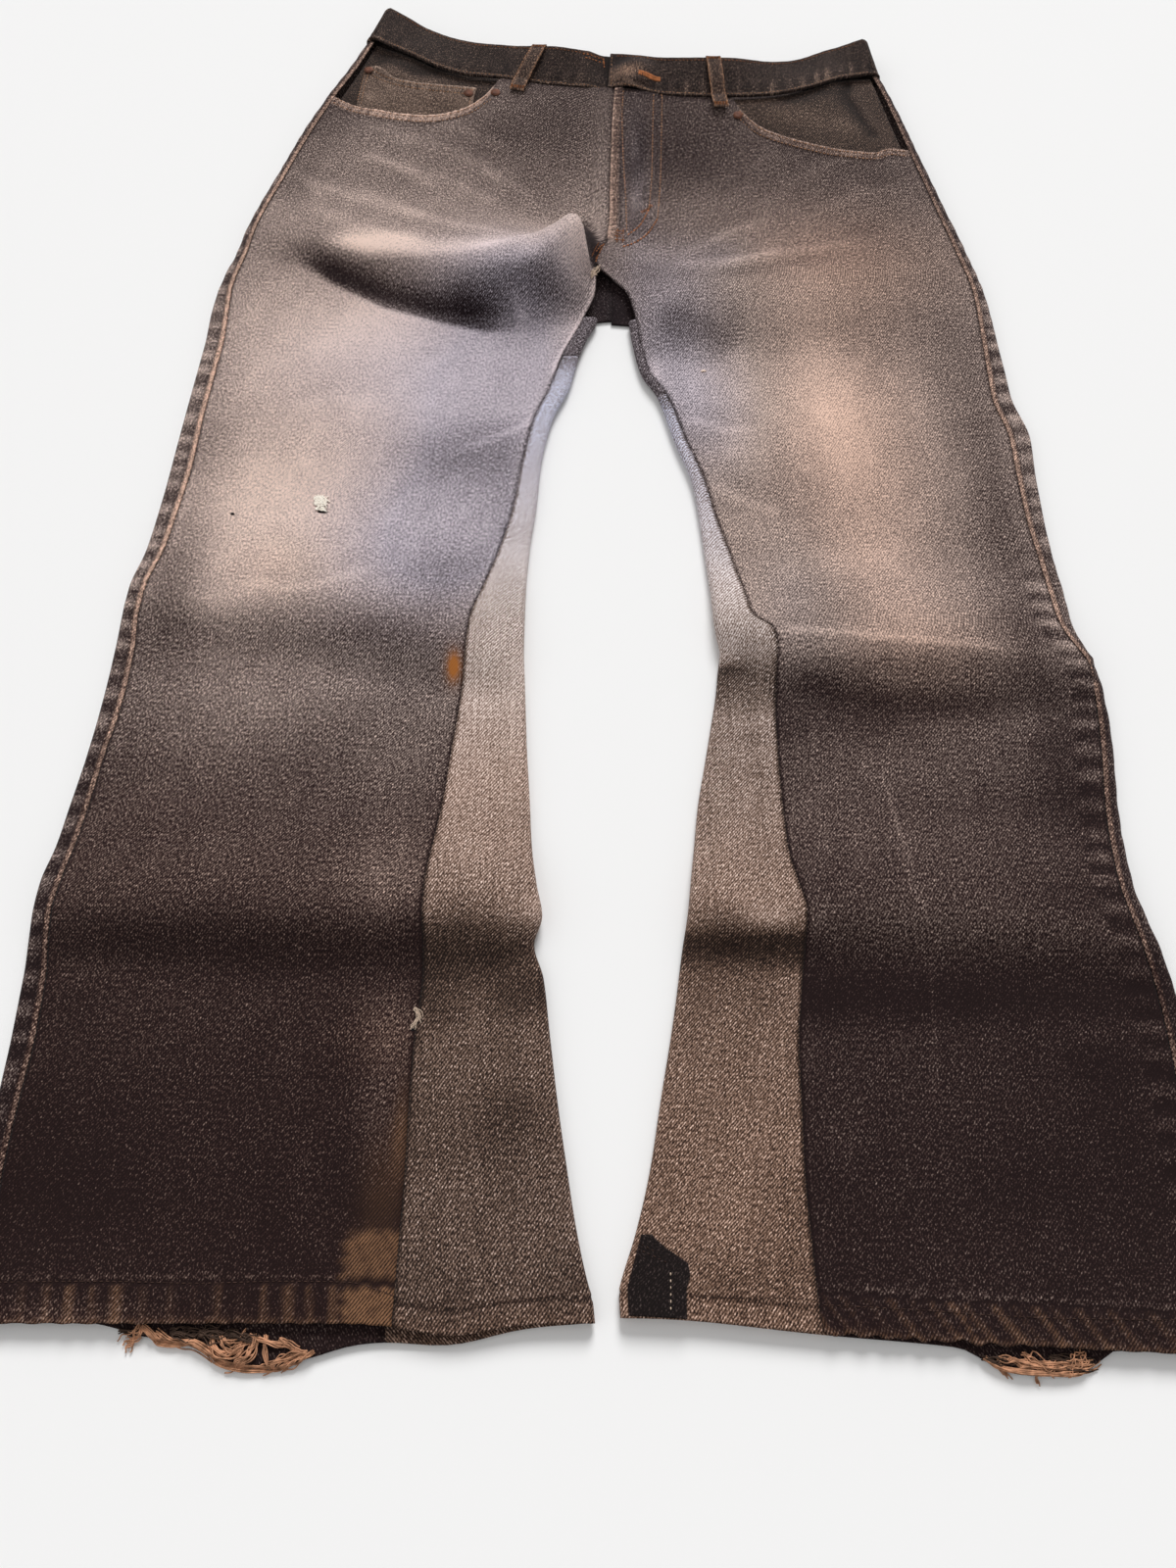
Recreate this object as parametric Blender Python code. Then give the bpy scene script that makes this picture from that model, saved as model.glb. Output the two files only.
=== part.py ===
"""Bootcut jeans laid flat on their back, widened below the knee with a wedge of other denim in each inseam.

The garment is built from the pieces that a maker cuts and sews.  X runs across it (+X is the wearer's
left, the viewer's right), Y runs up it from the hems to the waist, and Z is up from the floor.  The tables
hold millimetres, measured from the hem line and from a line between the legs; the meshes are in metres.
Every leg is a flattened tube: one ring of points for each row of the leg's table, from the outseam over the
front, round the inner fold, back along the floor and round the outer fold.  Each piece takes its own span of
those rings, so that neighbours share a seam and stay a needle's width apart.
"""
import math
from collections import namedtuple

import bmesh
import bpy
import numpy as np
from mathutils import Matrix

# ---------------------------------------------------------------- driving sizes, in millimetres
MM = 0.001
ORIGIN_X = 6.5            # the box's middle across, from the line between the legs
ORIGIN_Y = 536.5          # the box's middle along, from the hem line
GAP = 0.3                 # between two pieces that meet
CLOTH = 1.4               # one layer of washed heavy denim
HEM_CLOTH = 2.6           # the turned hem, two layers
HEM_DEPTH = 16.0
BAND_CLOTH = 2.6          # the waistband, two layers
BAND_WIDTH = 38.0
BAND_PROUD = 0.6          # how far the waistband stands over the panels
LIGHT_CLOTH = 1.1         # pocket facings, pocket patches, loops and the corner patch
FOLD_REACH = 4.0          # how far in from the edge a side fold has turned flat
SEAT_LIFT = 1.6           # the seat lies this high, on its pockets and loops
SEAT_FROM = 742.0         # where the seat starts to lift, and where it has lifted
SEAT_TO = 785.0
CENTRE_SEAM = 19.0        # the seat's centre seam

# Heights of the upper surface: away from the side folds, and at them.
MIDDLE_HEIGHT = ((0, 7.5), (20, 7.2), (60, 5.4), (690, 5.2), (770, 8.5), (820, 10.0), (880, 11.0))
EDGE_HEIGHT = ((0, 7.6), (60, 7.0), (690, 7.0), (800, 9.0), (1000, 11.0))
FOLD_BLEND = 20.0         # how far in from a side fold the middle height holds
HIP_FROM = 870.0          # the waist's own height takes over between these
HIP_TO = 1000.0

# The front of the waist: where the band's lower edge lies, how high it is, how far the band leans across, and
# how far its top edge rises over its lower edge.
WaistPoint = namedtuple("WaistPoint", "x y height lean rise")
FRONT_WAIST = (
    WaistPoint(-197, 1068, 14, 14, 4),
    WaistPoint(-180, 1055, 15.5, 14, 2),
    WaistPoint(-161, 1041.5, 17, 13, -1),
    WaistPoint(-130, 1018, 20, 11, 1.5),
    WaistPoint(-104, 1007, 21, 9, 3.5),
    WaistPoint(-78, 1004.5, 20.5, 7, 3.5),
    WaistPoint(-57.2, 1001, 20, 6, 6),
    WaistPoint(-33.8, 998, 18.5, 5, 9.5),
    WaistPoint(-10.4, 998, 16.5, 4, 8),
    WaistPoint(7.8, 998.5, 15.5, 3, 6),
    WaistPoint(26, 998.5, 15.5, 2, 4.5),
    WaistPoint(43.7, 995, 16, 2, 5),
    WaistPoint(61.3, 988.5, 17, 1, 7),
    WaistPoint(84.1, 982.5, 19.5, 1, 8.5),
    WaistPoint(106.8, 980, 20.5, 1, 9.5),
    WaistPoint(127, 979.3, 21, 1, 9),
    WaistPoint(144, 980, 21, 0, 6.5),
    WaistPoint(160, 981.5, 21, -1, 3.5),
    WaistPoint(194, 992.5, 19.5, -4, -0.5),
    WaistPoint(227, 1011, 15.5, -6, 0.5),
    WaistPoint(257.5, 1020, 13, -8, 7),
)

# ---------------------------------------------------------------- the legs, a row for each section
# y: height of the row at its inner end; tilt: how much further up its outer end lies; outer and inner: the
# side folds; outseam: the side seam on top; seam: the front panel's inner edge, which is the wedge's seam up
# to the wedge's tip, then the inseam, then the centre front; back: height of the row at the seat's centre seam.
LegRow = namedtuple("LegRow", "y tilt outer outseam seam inner back")
LegSide = namedtuple("LegSide", "name sign rows tip fork")


def leg_rows(*table):
    """Fill in the columns that only the seat needs."""
    return [LegRow(*(tuple(row) + (None,) * (7 - len(row)))) for row in table]


RIGHT_ROWS = leg_rows(
    (0, 0, -352, -337, -109, 4),
    (14, 0, -352, -337.5, -108.7, 2),
    (18, 0, -352, -338, -108.5, 0.5),
    (45, 0, -353, -340, -108, -6),
    (80, 0, -354, -341.5, -107, -12),
    (120, 0, -354, -340, -107, -18.5),
    (160, 0, -353, -337.5, -106, -23.5),
    (195, 0, -353, -338, -103.3, -28),
    (216, 0, -353.5, -339.5, -103.5, -34),
    (234, 0, -353.5, -339.5, -104.5, -29),
    (255, 0, -352.5, -337, -104, -33),
    (280, 0, -347.5, -333, -101, -36.5),
    (310, 0, -344.5, -330.5, -97, -38.5),
    (345, 0, -340, -327, -93.5, -41),
    (375, 0, -337, -322.5, -90, -42.5),
    (405, 0, -335, -320, -87, -44),
    (430, 0, -334, -319.5, -85.5, -45),
    (450, 0, -333.5, -320.5, -84, -45),
    (478, 0, -331, -317, -76, -45),
    (510, 0, -323.5, -308.5, -66, -43.5),
    (550, 0, -320, -304.5, -56, -39),
    (592, 0, -317, -300.5, -50, -35.5),
    (633, 0, -314, -298.5, -42, -28),
    (665, 0, -311.5, -296, -30, -15),
    (696, 0, -309, -293.5, -21, -7.5),
    (716, 0, -307.5, -292, -12, -1),
    (737, 0, -307, -292, -3, 7.5),
    (762, 0, -304.5, -292, 6, None, 748),
    (786, 0, -299.5, -288.5, 7, None, 772),
    (800, 3, -294.5, -284.5, 10, None, 788),
    (820, 8, -289.5, -280, 17, None, 811),
    (845, 16, -280.5, -271.5, 20, None, 840),
    (875, 26, -268, -259.5, 20.5, None, 872),
    (910, 37, -253, -244.5, 21.5, None, 908),
    (945, 48, -234.5, -226.5, 22.5, None, 940),
    (975, 58, -218, -210, 24, None, 972),
    (1001, 67, -204.5, -197, 26, None, 1006),
)
LEFT_ROWS = leg_rows(
    (0, -17, 363, 350, 130.5, 18),
    (14, -15, 364, 351, 129.5, 17.5),
    (18, -14, 364, 351, 129, 18.5),
    (45, -9, 365, 352, 128, 27),
    (80, -5, 366, 353, 127, 36),
    (120, -2, 367, 354, 128, 43.5),
    (155, 0, 367, 354, 129, 50),
    (188, 0, 365, 352.5, 133, 55.5),
    (213, 0, 360.5, 348, 136.5, 59.5),
    (236, 0, 354, 342.5, 138, 63.5),
    (255, 0, 351, 340, 134, 66),
    (280, 0, 351, 341, 130, 69.5),
    (310, 0, 352.5, 343, 129.5, 73),
    (345, 0, 356, 347, 129, 79.5),
    (372, 0, 358, 349.5, 129, 84.5),
    (395, 0, 358, 350.5, 130, 88.5),
    (412, 0, 356.5, 349, 131, 90.5),
    (427, 0, 350, 341.5, 132, 92.5),
    (440, 0, 345, 335, 129.5, 90.5),
    (452, 0, 344, 332.5, 116, 89.5),
    (475, 0, 343.5, 331.5, 111.5, 88.5),
    (505, 0, 341, 329, 105, 86),
    (540, 0, 339.5, 325.5, 95.5, 83),
    (575, 0, 339.5, 324.5, 88, 78),
    (614, 0, 341, 324, 75, 66),
    (657, 0, 332, 316, 62, 54.5),
    (680, 0, 331, 316, 48.5, 42),
    (705, 0, 329.5, 316, 42.5, 36.5),
    (733, 0, 328, 316, 38.5, 33),
    (762, 0, 325.5, 315, 31, None, 748),
    (776, 0, 323, 313, 19, None, 761),
    (786, 0, 321, 311, 7, None, 772),
    (800, 1, 317.5, 307.5, 10, None, 788),
    (820, 2, 313, 303, 17, None, 811),
    (845, 5, 306, 296.5, 20, None, 840),
    (875, 8, 298.5, 289.5, 20.5, None, 872),
    (910, 11, 289.5, 281, 21.5, None, 908),
    (945, 14, 281, 273, 22.5, None, 940),
    (975, 17, 273, 265.5, 24, None, 972),
    (1001, 19, 265, 257.5, 26, None, 1006),
)
RIGHT = LegSide("right", 1, RIGHT_ROWS, 696, 737)      # sign: +1 where the inner side lies towards +X
LEFT = LegSide("left", -1, LEFT_ROWS, 657, 733)        # tip: top of the wedge; fork: where the legs part
YOKE_ROW = 945.0          # the yoke's seam, by its row
POCKET_ROW = 875.0        # above it the front panel's rows close up under the pocket's mouth

# ---------------------------------------------------------------- the folds, a row for each place along a crest
# x and y: the crest; height: over the plain surface; below and above: how far it falls away on either side.
Crest = namedtuple("Crest", "x y height below above")
FOLDS = (
    (   # the roll of cloth over the wearer's right thigh, which ends in a peak beside the crotch
        Crest(-292, 836, 0, 30, 60),
        Crest(-236, 818, 6, 38, 80),
        Crest(-160, 795, 14, 42, 95),
        Crest(-95, 774, 23, 46, 100),
        Crest(-45, 770, 31, 46, 80),
        Crest(-15, 795, 39, 66, 44),
        Crest(6, 800, 8, 60, 34),
        Crest(26, 800, 0, 40, 30),
    ),
    (   # the shallow step across the same leg at the knee
        Crest(-341, 486, 3, 45, 90),
        Crest(-283, 474, 8, 44, 110),
        Crest(-111, 436, 10, 42, 110),
        Crest(-42, 425, 3, 40, 90),
    ),
    (   # the deep step across its shin
        Crest(-358, 242, 4, 42, 80),
        Crest(-300, 242, 12, 48, 95),
        Crest(-107, 240, 13, 48, 95),
        Crest(-60, 238, 12, 42, 80),
        Crest(-28, 238, 6, 26, 50),
    ),
    (   # the soft roll over the wearer's left thigh
        Crest(32, 750, 1, 50, 80),
        Crest(95, 745, 8, 60, 90),
        Crest(165, 752, 8, 60, 100),
        Crest(250, 765, 2, 50, 80),
        Crest(300, 775, 0, 50, 80),
    ),
    (   # the step across the left knee
        Crest(80, 449, 4, 28, 60),
        Crest(100, 446, 9, 34, 60),
        Crest(132, 440, 13, 62, 80),
        Crest(188, 438, 15, 68, 90),
        Crest(277, 431, 13, 62, 90),
        Crest(350, 420, 5, 48, 60),
    ),
    (   # the step across the left shin
        Crest(56, 236, 4, 28, 50),
        Crest(95, 238, 12, 36, 70),
        Crest(137, 240, 12, 42, 80),
        Crest(188, 246, 12, 48, 90),
        Crest(325, 232, 8, 46, 80),
        Crest(366, 226, 2, 40, 60),
    ),
)

# The mouths of the front pockets, from the outseam to the waist.
RIGHT_MOUTH = ((-224, 991), (-199, 977), (-163, 964), (-136, 960), (-110, 966), (-90, 983), (-78, 1004.5))
LEFT_MOUTH = ((277, 925), (262, 926), (247, 920), (224, 922), (181, 932), (153, 944), (134, 965), (127, 979.3))
MOUTH_COLUMN = 0.6        # the front panel's column that ends where its pocket's mouth meets the waist
EDGE_INSET = 0.4          # beside the mouth the front panel keeps this much further from the outseam

# The torn back hems hang below the line of the front hems: x and how far.
RIGHT_SAG = (
    (-275, 0), (-262, -3), (-246, -7), (-222, -10), (-206, -17), (-194, -20), (-180, -21.5), (-169, -21.5),
    (-158, -18.5), (-150, -16.5), (-140, -13.5), (-130, -11), (-109, -8), (-50, -3), (4, 0))
LEFT_SAG = ((18, 0), (130, -1), (205, -3), (216, -7), (226, -12), (240, -15), (268, -14), (281, -7), (292, 0))
SAG_FADE = 45.0           # the sag has gone this far above the hem

# Each wedge's hem hangs out of the line of its leg's: by how much, about where, and how far to either side.
HemDip = namedtuple("HemDip", "depth x reach")
HEM_DIPS = {"right": HemDip(6, -76, 30), "left": HemDip(-3.5, 50, 62)}
DIP_FADE = 60.0           # the dip has gone this far above the hem

# Columns: fractions of the way along each stretch of a ring.
FRONT_COLUMNS = (0, 0.06, 0.14, 0.23, 0.32, 0.41, 0.5, MOUTH_COLUMN, 0.68, 0.77, 0.86, 0.93, 1)
WEDGE_TOP_COLUMNS = (0, 0.3, 0.6, 0.85, 1)
WEDGE_FLOOR_COLUMNS = (0, 0.45, 1)
FLOOR_COLUMNS = (0, 0.09, 0.18, 0.27, 0.36, 0.44, 0.52, 0.6, 0.68, 0.76, 0.88, 1)
FOLD_ANGLES = (90, 42, -5, -48, -90)      # round a side fold, from its top to the floor
INSEAM_TURN = 3.0         # how far the back panel's cloth runs on along the floor from the inner fold

CLOTH_COLOURS = {
    "denim": (0.115, 0.108, 0.118), "wedge": (0.30, 0.285, 0.28), "facing": (0.085, 0.078, 0.082),
    "band": (0.075, 0.066, 0.068), "patch": (0.018, 0.017, 0.024), "thread": (0.47, 0.28, 0.16),
    "zip": (0.05, 0.045, 0.05),
}
BUTTON_COLOUR = (0.33, 0.23, 0.16)
RIVET_COLOUR = (0.36, 0.16, 0.08)
METAL = (0.45, 0.9)       # roughness, and how metallic
SHARP_EDGE = 50.0         # degrees between two faces that are not shaded as one


# ---------------------------------------------------------------- measures along the garment
def table_at(table, value):
    """Read a two-column table between its rows, whichever way they run."""
    pairs = sorted(table)
    return float(np.interp(value, [pair[0] for pair in pairs], [pair[1] for pair in pairs]))


def smooth(value):
    """Ease from 0 to 1."""
    value = min(max(value, 0.0), 1.0)
    return value * value * (3 - 2 * value)


def waist_at(x, column):
    return table_at([(point.x, getattr(point, column)) for point in FRONT_WAIST], x)


def row_width(leg, y, column):
    return table_at([(row.y, getattr(row, column)) for row in leg.rows if getattr(row, column) is not None], y)


def fold_height(x, y):
    """The folds' height at a place on the front."""
    total = 0.0
    for crests in FOLDS:
        xs = [crest.x for crest in crests]
        if not xs[0] <= x <= xs[-1]:
            continue
        crest_y, height, below, above = (
            float(np.interp(x, xs, [crest[column] for crest in crests])) for column in (1, 2, 3, 4))
        off = y - crest_y
        reach = above if off > 0 else below
        if abs(off) < reach:
            total += height * 0.5 * (1 + math.cos(math.pi * off / reach))
    return total


def plain_height(x, y):
    """The upper surface without its folds: low on the legs, higher over the hips and at the side folds."""
    leg = RIGHT if x < CENTRE_SEAM else LEFT
    outer = row_width(leg, y, "outer")
    middle = table_at(MIDDLE_HEIGHT, y)
    middle += (waist_at(x, "height") - middle) * smooth((y - HIP_FROM) / (HIP_TO - HIP_FROM))
    distance = abs(x - outer) - FOLD_REACH
    if y < leg.fork:
        distance = min(distance, abs(x - row_width(leg, y, "inner")) - FOLD_REACH)
    edge = table_at(EDGE_HEIGHT, y)
    return middle + (edge - middle) * math.exp(-(max(distance, 0.0) / FOLD_BLEND) ** 2)


def top_height(x, y):
    return plain_height(x, y) + fold_height(x, y)


def floor_height(y):
    """The underside: on the floor under the legs, lifted under the seat."""
    return SEAT_LIFT * smooth((y - SEAT_FROM) / (SEAT_TO - SEAT_FROM))


def top_normal(x, y, reach=4.0):
    """The way the upper surface faces, from the fall of its height across a few millimetres."""
    across = (top_height(x + reach, y) - top_height(x - reach, y)) / (2 * reach)
    up = (top_height(x, y + reach) - top_height(x, y - reach)) / (2 * reach)
    normal = np.array((-across, -up, 1.0))
    return normal / np.linalg.norm(normal)


# ---------------------------------------------------------------- turning rows of points into pieces
Spot = namedtuple("Spot", "place normal")         # a point of a piece's outer face, and the way it faces


def material(name, colour, roughness=0.9, metallic=0.0):
    made = bpy.data.materials.new(name)
    made.use_nodes = True
    shader = made.node_tree.nodes["Principled BSDF"]
    shader.inputs["Base Color"].default_value = (*colour, 1.0)
    shader.inputs["Roughness"].default_value = roughness
    shader.inputs["Metallic"].default_value = metallic
    return made


def cloth_colour(kind):
    return (CLOTH_COLOURS[kind],)


def finish_piece(name, bm, look):
    """Close a bmesh in millimetres into a named object in metres; look holds its material's settings."""
    bmesh.ops.recalc_face_normals(bm, faces=bm.faces)
    bmesh.ops.translate(bm, verts=bm.verts, vec=(-ORIGIN_X, -ORIGIN_Y, 0))
    bmesh.ops.scale(bm, verts=bm.verts, vec=(MM, MM, MM))
    mesh = bpy.data.meshes.new(name)
    bm.to_mesh(mesh)
    bm.free()
    mesh.shade_smooth()
    mesh.set_sharp_from_angle(angle=math.radians(SHARP_EDGE))
    mesh.materials.append(material(name, *look))
    piece = bpy.data.objects.new(name, mesh)
    collection.objects.link(piece)
    return piece


def pull_in(first, second, distance):
    """Move a point towards its neighbour, to leave half a seam's gap."""
    step = second - first
    length = np.linalg.norm(step)
    return first + step * (distance / length)


def trim(rows, ends=(True, True), sides=(True, True)):
    """Draw a sheet of spots back by half a gap at its first and last rows, and at its first and last columns."""
    rows = [list(row) for row in rows]
    half = GAP / 2
    if ends[0]:
        rows[0] = [Spot(pull_in(a.place, b.place, half), a.normal) for a, b in zip(rows[0], rows[1])]
    if ends[1]:
        rows[-1] = [Spot(pull_in(a.place, b.place, half), a.normal) for a, b in zip(rows[-1], rows[-2])]
    for row in rows:
        if sides[0]:
            row[0] = Spot(pull_in(row[0].place, row[1].place, half), row[0].normal)
        if sides[1]:
            row[-1] = Spot(pull_in(row[-1].place, row[-2].place, half), row[-1].normal)
    return rows


def cloth_wall(name, rows, look, thick, drop=0.0, present=None):
    """Loft one closed wall from rows of spots.

    The outer face lies drop under the spots and the inner face thick under that.  thick may be a function of
    the row's number.  present says which cells the sheet has, by row and column; all of them if left out.
    """
    bm = bmesh.new()
    outer, inner = [], []
    for number, row in enumerate(rows):
        wall = thick(number) if callable(thick) else thick
        outer.append([bm.verts.new(spot.place - drop * spot.normal) for spot in row])
        inner.append([bm.verts.new(spot.place - (drop + wall) * spot.normal) for spot in row])
    cells = {
        (i, j) for i in range(len(rows) - 1) for j in range(len(rows[0]) - 1)
        if present is None or present(i, j)
    }
    for i, j in cells:
        for sheet in (outer, inner):
            bm.faces.new((sheet[i][j], sheet[i][j + 1], sheet[i + 1][j + 1], sheet[i + 1][j]))
        sides = (
            ((i - 1, j), (i, j), (i, j + 1)), ((i + 1, j), (i + 1, j), (i + 1, j + 1)),
            ((i, j - 1), (i, j), (i + 1, j)), ((i, j + 1), (i, j + 1), (i + 1, j + 1)),
        )
        for beyond, start, end in sides:
            if beyond not in cells:
                (a, b), (c, d) = start, end
                bm.faces.new((outer[a][b], outer[c][d], inner[c][d], inner[a][b]))
    loose = [vert for vert in bm.verts if not vert.link_faces]
    bmesh.ops.delete(bm, geom=loose, context="VERTS")
    return finish_piece(name, bm, look)


# ---------------------------------------------------------------- rings of a leg
def row_y(leg, row, x):
    """A row's own height at a place across it: rows tilt, and the wedges' hems dip."""
    inner = row.inner if row.inner is not None else row.seam
    share = (x - inner) / (row.outer - inner)
    dip = HEM_DIPS[leg.name]
    hang = dip.depth * math.exp(-((x - dip.x) / dip.reach) ** 2) * (1 - smooth(row.y / DIP_FADE))
    return row.y + row.tilt * min(max(share, 0.0), 1.0) - hang


def sag_at(leg, x):
    return table_at(RIGHT_SAG if leg is RIGHT else LEFT_SAG, x)


def floor_y(leg, row, x):
    """The same row on the underside, where the seat's rows curve to their own centre seam."""
    if row.back is None:
        return row_y(leg, row, x) + sag_at(leg, x) * (1 - smooth(row.y / SAG_FADE))
    share = min(max((x - row.outer) / (CENTRE_SEAM - row.outer), 0.0), 1.0)
    return row.y + row.tilt + (row.back - row.y - row.tilt) * (1 - (1 - share) ** 2)


def pocket_mouth(leg):
    return RIGHT_MOUTH if leg is RIGHT else LEFT_MOUTH


def front_top_y(leg, x):
    """The front panel's upper edge: its pocket's mouth, then the waist."""
    mouth = pocket_mouth(leg)
    if (x - mouth[-1][0]) * leg.sign < 0:
        return table_at(mouth, x)
    return waist_at(x, "y")


def outseam_at(leg, y):
    """The outseam's place across, by its own height rather than by its row's."""
    return table_at([(row_y(leg, row, row.outseam), row.outseam) for row in leg.rows], y) + leg.sign * EDGE_INSET


def top_spot(x, y):
    return Spot(np.array((x, y, top_height(x, y))), top_normal(x, y))


def fold_spots(leg, row, edge, facing):
    """Round a side fold from the top to the floor: half an ellipse, facing +1 towards the leg's inner side."""
    middle_x = edge - facing * leg.sign * FOLD_REACH
    y = row_y(leg, row, edge) if row.back is None or facing < 0 else row.y
    low = floor_height(row.y)
    half = (top_height(middle_x, y) - low) / 2
    spots = []
    for angle in FOLD_ANGLES:
        turn = math.radians(angle)
        out = facing * leg.sign * math.cos(turn)
        normal = np.array((out / FOLD_REACH, 0, math.sin(turn) / half))
        place = np.array((middle_x + out * FOLD_REACH, y, low + half + half * math.sin(turn)))
        spots.append(Spot(place, normal / np.linalg.norm(normal)))
    return spots


def floor_spot(leg, row, x):
    return Spot(np.array((x, floor_y(leg, row, x), floor_height(row.y))), np.array((0, 0, -1.0)))


def top_run(leg, row, start, end, fractions):
    """Spots over the top of a row between two places across it."""
    xs = [start + (end - start) * share for share in fractions]
    return [top_spot(x, row_y(leg, row, x)) for x in xs]


def wedge_width(row):
    return abs(row.inner - row.seam)


def floor_seam(leg, row):
    """Where the wedge or the inner turn of the back panel ends on the underside."""
    if row.inner is None:
        return CENTRE_SEAM
    width = wedge_width(row) if row.y < leg.tip else INSEAM_TURN
    return row.inner - leg.sign * (FOLD_REACH + width)


def hem_thickness(leg):
    def thick(number):
        return HEM_CLOTH if leg.rows[number].y < HEM_DEPTH else CLOTH
    return thick


def front_panel(leg):
    """A front, from the hem to the waist, with its pocket's mouth cut out of the outer corner."""
    rows = []
    base = next(row for row in leg.rows if row.y == POCKET_ROW)
    top = leg.rows[-1]
    for row in leg.rows:
        if row.y <= POCKET_ROW:
            rows.append(top_run(leg, row, row.outseam, row.seam, FRONT_COLUMNS))
            continue
        share = (row.y - POCKET_ROW) / (top.y - POCKET_ROW)
        mouth = pocket_mouth(leg)
        spots = []
        for column in FRONT_COLUMNS:
            low_x = base.outseam + (base.seam - base.outseam) * column
            if column <= MOUTH_COLUMN:
                high_x = mouth[0][0] + (mouth[-1][0] - mouth[0][0]) * column / MOUTH_COLUMN
            else:
                rest = (column - MOUTH_COLUMN) / (1 - MOUTH_COLUMN)
                high_x = mouth[-1][0] + (top.seam - mouth[-1][0]) * rest
            low_y = row_y(leg, base, low_x)
            x = low_x + (high_x - low_x) * share
            if column == 0:
                x = outseam_at(leg, low_y + (mouth[0][1] - low_y) * share)
            elif column == 1:
                x = row.seam
            y = low_y + (front_top_y(leg, high_x) - low_y) * share
            spots.append(top_spot(x, y))
        rows.append(spots)
    rows = trim(rows, ends=(False, True))
    return cloth_wall(f"front_{leg.name}", rows, cloth_colour("denim"), hem_thickness(leg))


def wedge_panel(leg):
    """The wedge let into the inseam: over the top, round the inner fold and back along the floor."""
    rows = []
    used = [row for row in leg.rows if row.y <= leg.tip]
    for row in used:
        fold_top = row.inner - leg.sign * FOLD_REACH
        fold_end = floor_seam(leg, row)
        over = top_run(leg, row, row.seam, fold_top, WEDGE_TOP_COLUMNS)
        fold = fold_spots(leg, row, row.inner, 1)
        under = [floor_spot(leg, row, fold_top + (fold_end - fold_top) * share) for share in WEDGE_FLOOR_COLUMNS]
        rows.append(over[:-1] + fold + under[1:])
    rows = trim(rows, ends=(False, True))
    return cloth_wall(f"wedge_{leg.name}", rows, cloth_colour("wedge"), hem_thickness(leg))


def floor_run(leg, row):
    """Spots along the floor, from the wedge's or the centre's seam to the outer fold."""
    start, end = floor_seam(leg, row), row.outer + leg.sign * FOLD_REACH
    return [floor_spot(leg, row, start + (end - start) * share) for share in FLOOR_COLUMNS]


def back_sheet(leg, rows_used):
    """Rows of the back: the inner turn, the floor, the outer fold and the strip on top up to the outseam."""
    rows = []
    for row in rows_used:
        edge = row.inner if row.inner is not None else CENTRE_SEAM
        if leg.tip <= row.y <= leg.fork:
            fold_top = edge - leg.sign * FOLD_REACH
            inner = top_run(leg, row, row.seam, fold_top, (0, 1))[:-1] + fold_spots(leg, row, edge, 1)
        else:
            inner = [floor_spot(leg, row, floor_seam(leg, row))] * (len(FOLD_ANGLES) + 1)
        fold = fold_spots(leg, row, row.outer, -1)[::-1]
        strip = top_run(leg, row, row.outer + leg.sign * FOLD_REACH, row.outseam, (0, 1))[1:]
        rows.append(inner + floor_run(leg, row)[:-1] + fold + strip)
    return rows


def back_panel(leg):
    """A back, from the torn hem to the yoke; only above the wedge's tip does it turn round the inner fold."""
    used = [row for row in leg.rows if row.y <= YOKE_ROW]
    first = len(FOLD_ANGLES) + 1
    rows = back_sheet(leg, used)
    half = GAP / 2
    trimmed = trim(rows, ends=(False, True), sides=(False, True))
    for number, row in enumerate(used):
        line = trimmed[number]
        turned = leg.tip <= row.y <= leg.fork
        start = 0 if turned else first
        moved = Spot(pull_in(line[start].place, line[start + 1].place, half), line[start].normal)
        for column in range(start + 1):
            if not turned or column == start:
                line[column] = moved
    tip_line = [n for n, row in enumerate(used) if row.y == leg.tip][0]
    for column in range(first):
        spot, beyond = trimmed[tip_line][column], trimmed[tip_line + 1][column]
        trimmed[tip_line][column] = Spot(pull_in(spot.place, beyond.place, half), spot.normal)

    def present(i, j):
        return j >= first or (leg.tip <= used[i].y and used[i + 1].y <= leg.fork)

    return cloth_wall(f"back_{leg.name}", trimmed, cloth_colour("denim"), hem_thickness(leg), present=present)


def yoke(leg):
    """The yoke over a back panel, up to the waistband, from the centre seam to the outseam."""
    used = [row for row in leg.rows if row.y >= YOKE_ROW]
    first = len(FOLD_ANGLES) + 1
    rows = [row[first:] for row in back_sheet(leg, used)]
    return cloth_wall(f"yoke_{leg.name}", trim(rows), cloth_colour("denim"), CLOTH)


# ---------------------------------------------------------------- pockets
FACING_UNDER = 20.0       # how far a pocket facing runs on down under the front panel
FACING_ACROSS = 14.0      # and how far across
FACING_SLACK = 0.6        # the facing hangs a little away from the cloth over it
FACING_EDGE = 1.5         # its outer edge keeps this far from the outseam
FACING_FOOT = 4.0         # its lower edge keeps this far under the waist seam
FACING_TAPER = 0.2        # share of its width over which the part under the panel comes in
COIN_XS = (-202.5, -99.0)
COIN_TOP = ((-206, 1034), (-194, 1036), (-173, 1014), (-136, 1000), (-99, 993))
COIN_SKEW = 5.0           # how far the coin pocket's sides run across on the way down
COIN_UNDER = 9.0          # how far its foot runs on under the front panel
COIN_TAPER = 0.17
BACK_POCKET = ((-74, 0), (-76, 128), (76, 128), (74, 0), (0, -22))       # outline about its foot's middle
BACK_POCKET_X = 112.0     # from the centre seam
BACK_POCKET_Y = 800.0
BACK_POCKET_LEAN = 4.0    # degrees outwards at the top
UNDERSIDE_THICK = SEAT_LIFT - GAP          # what lies between the seat and the floor


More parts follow.
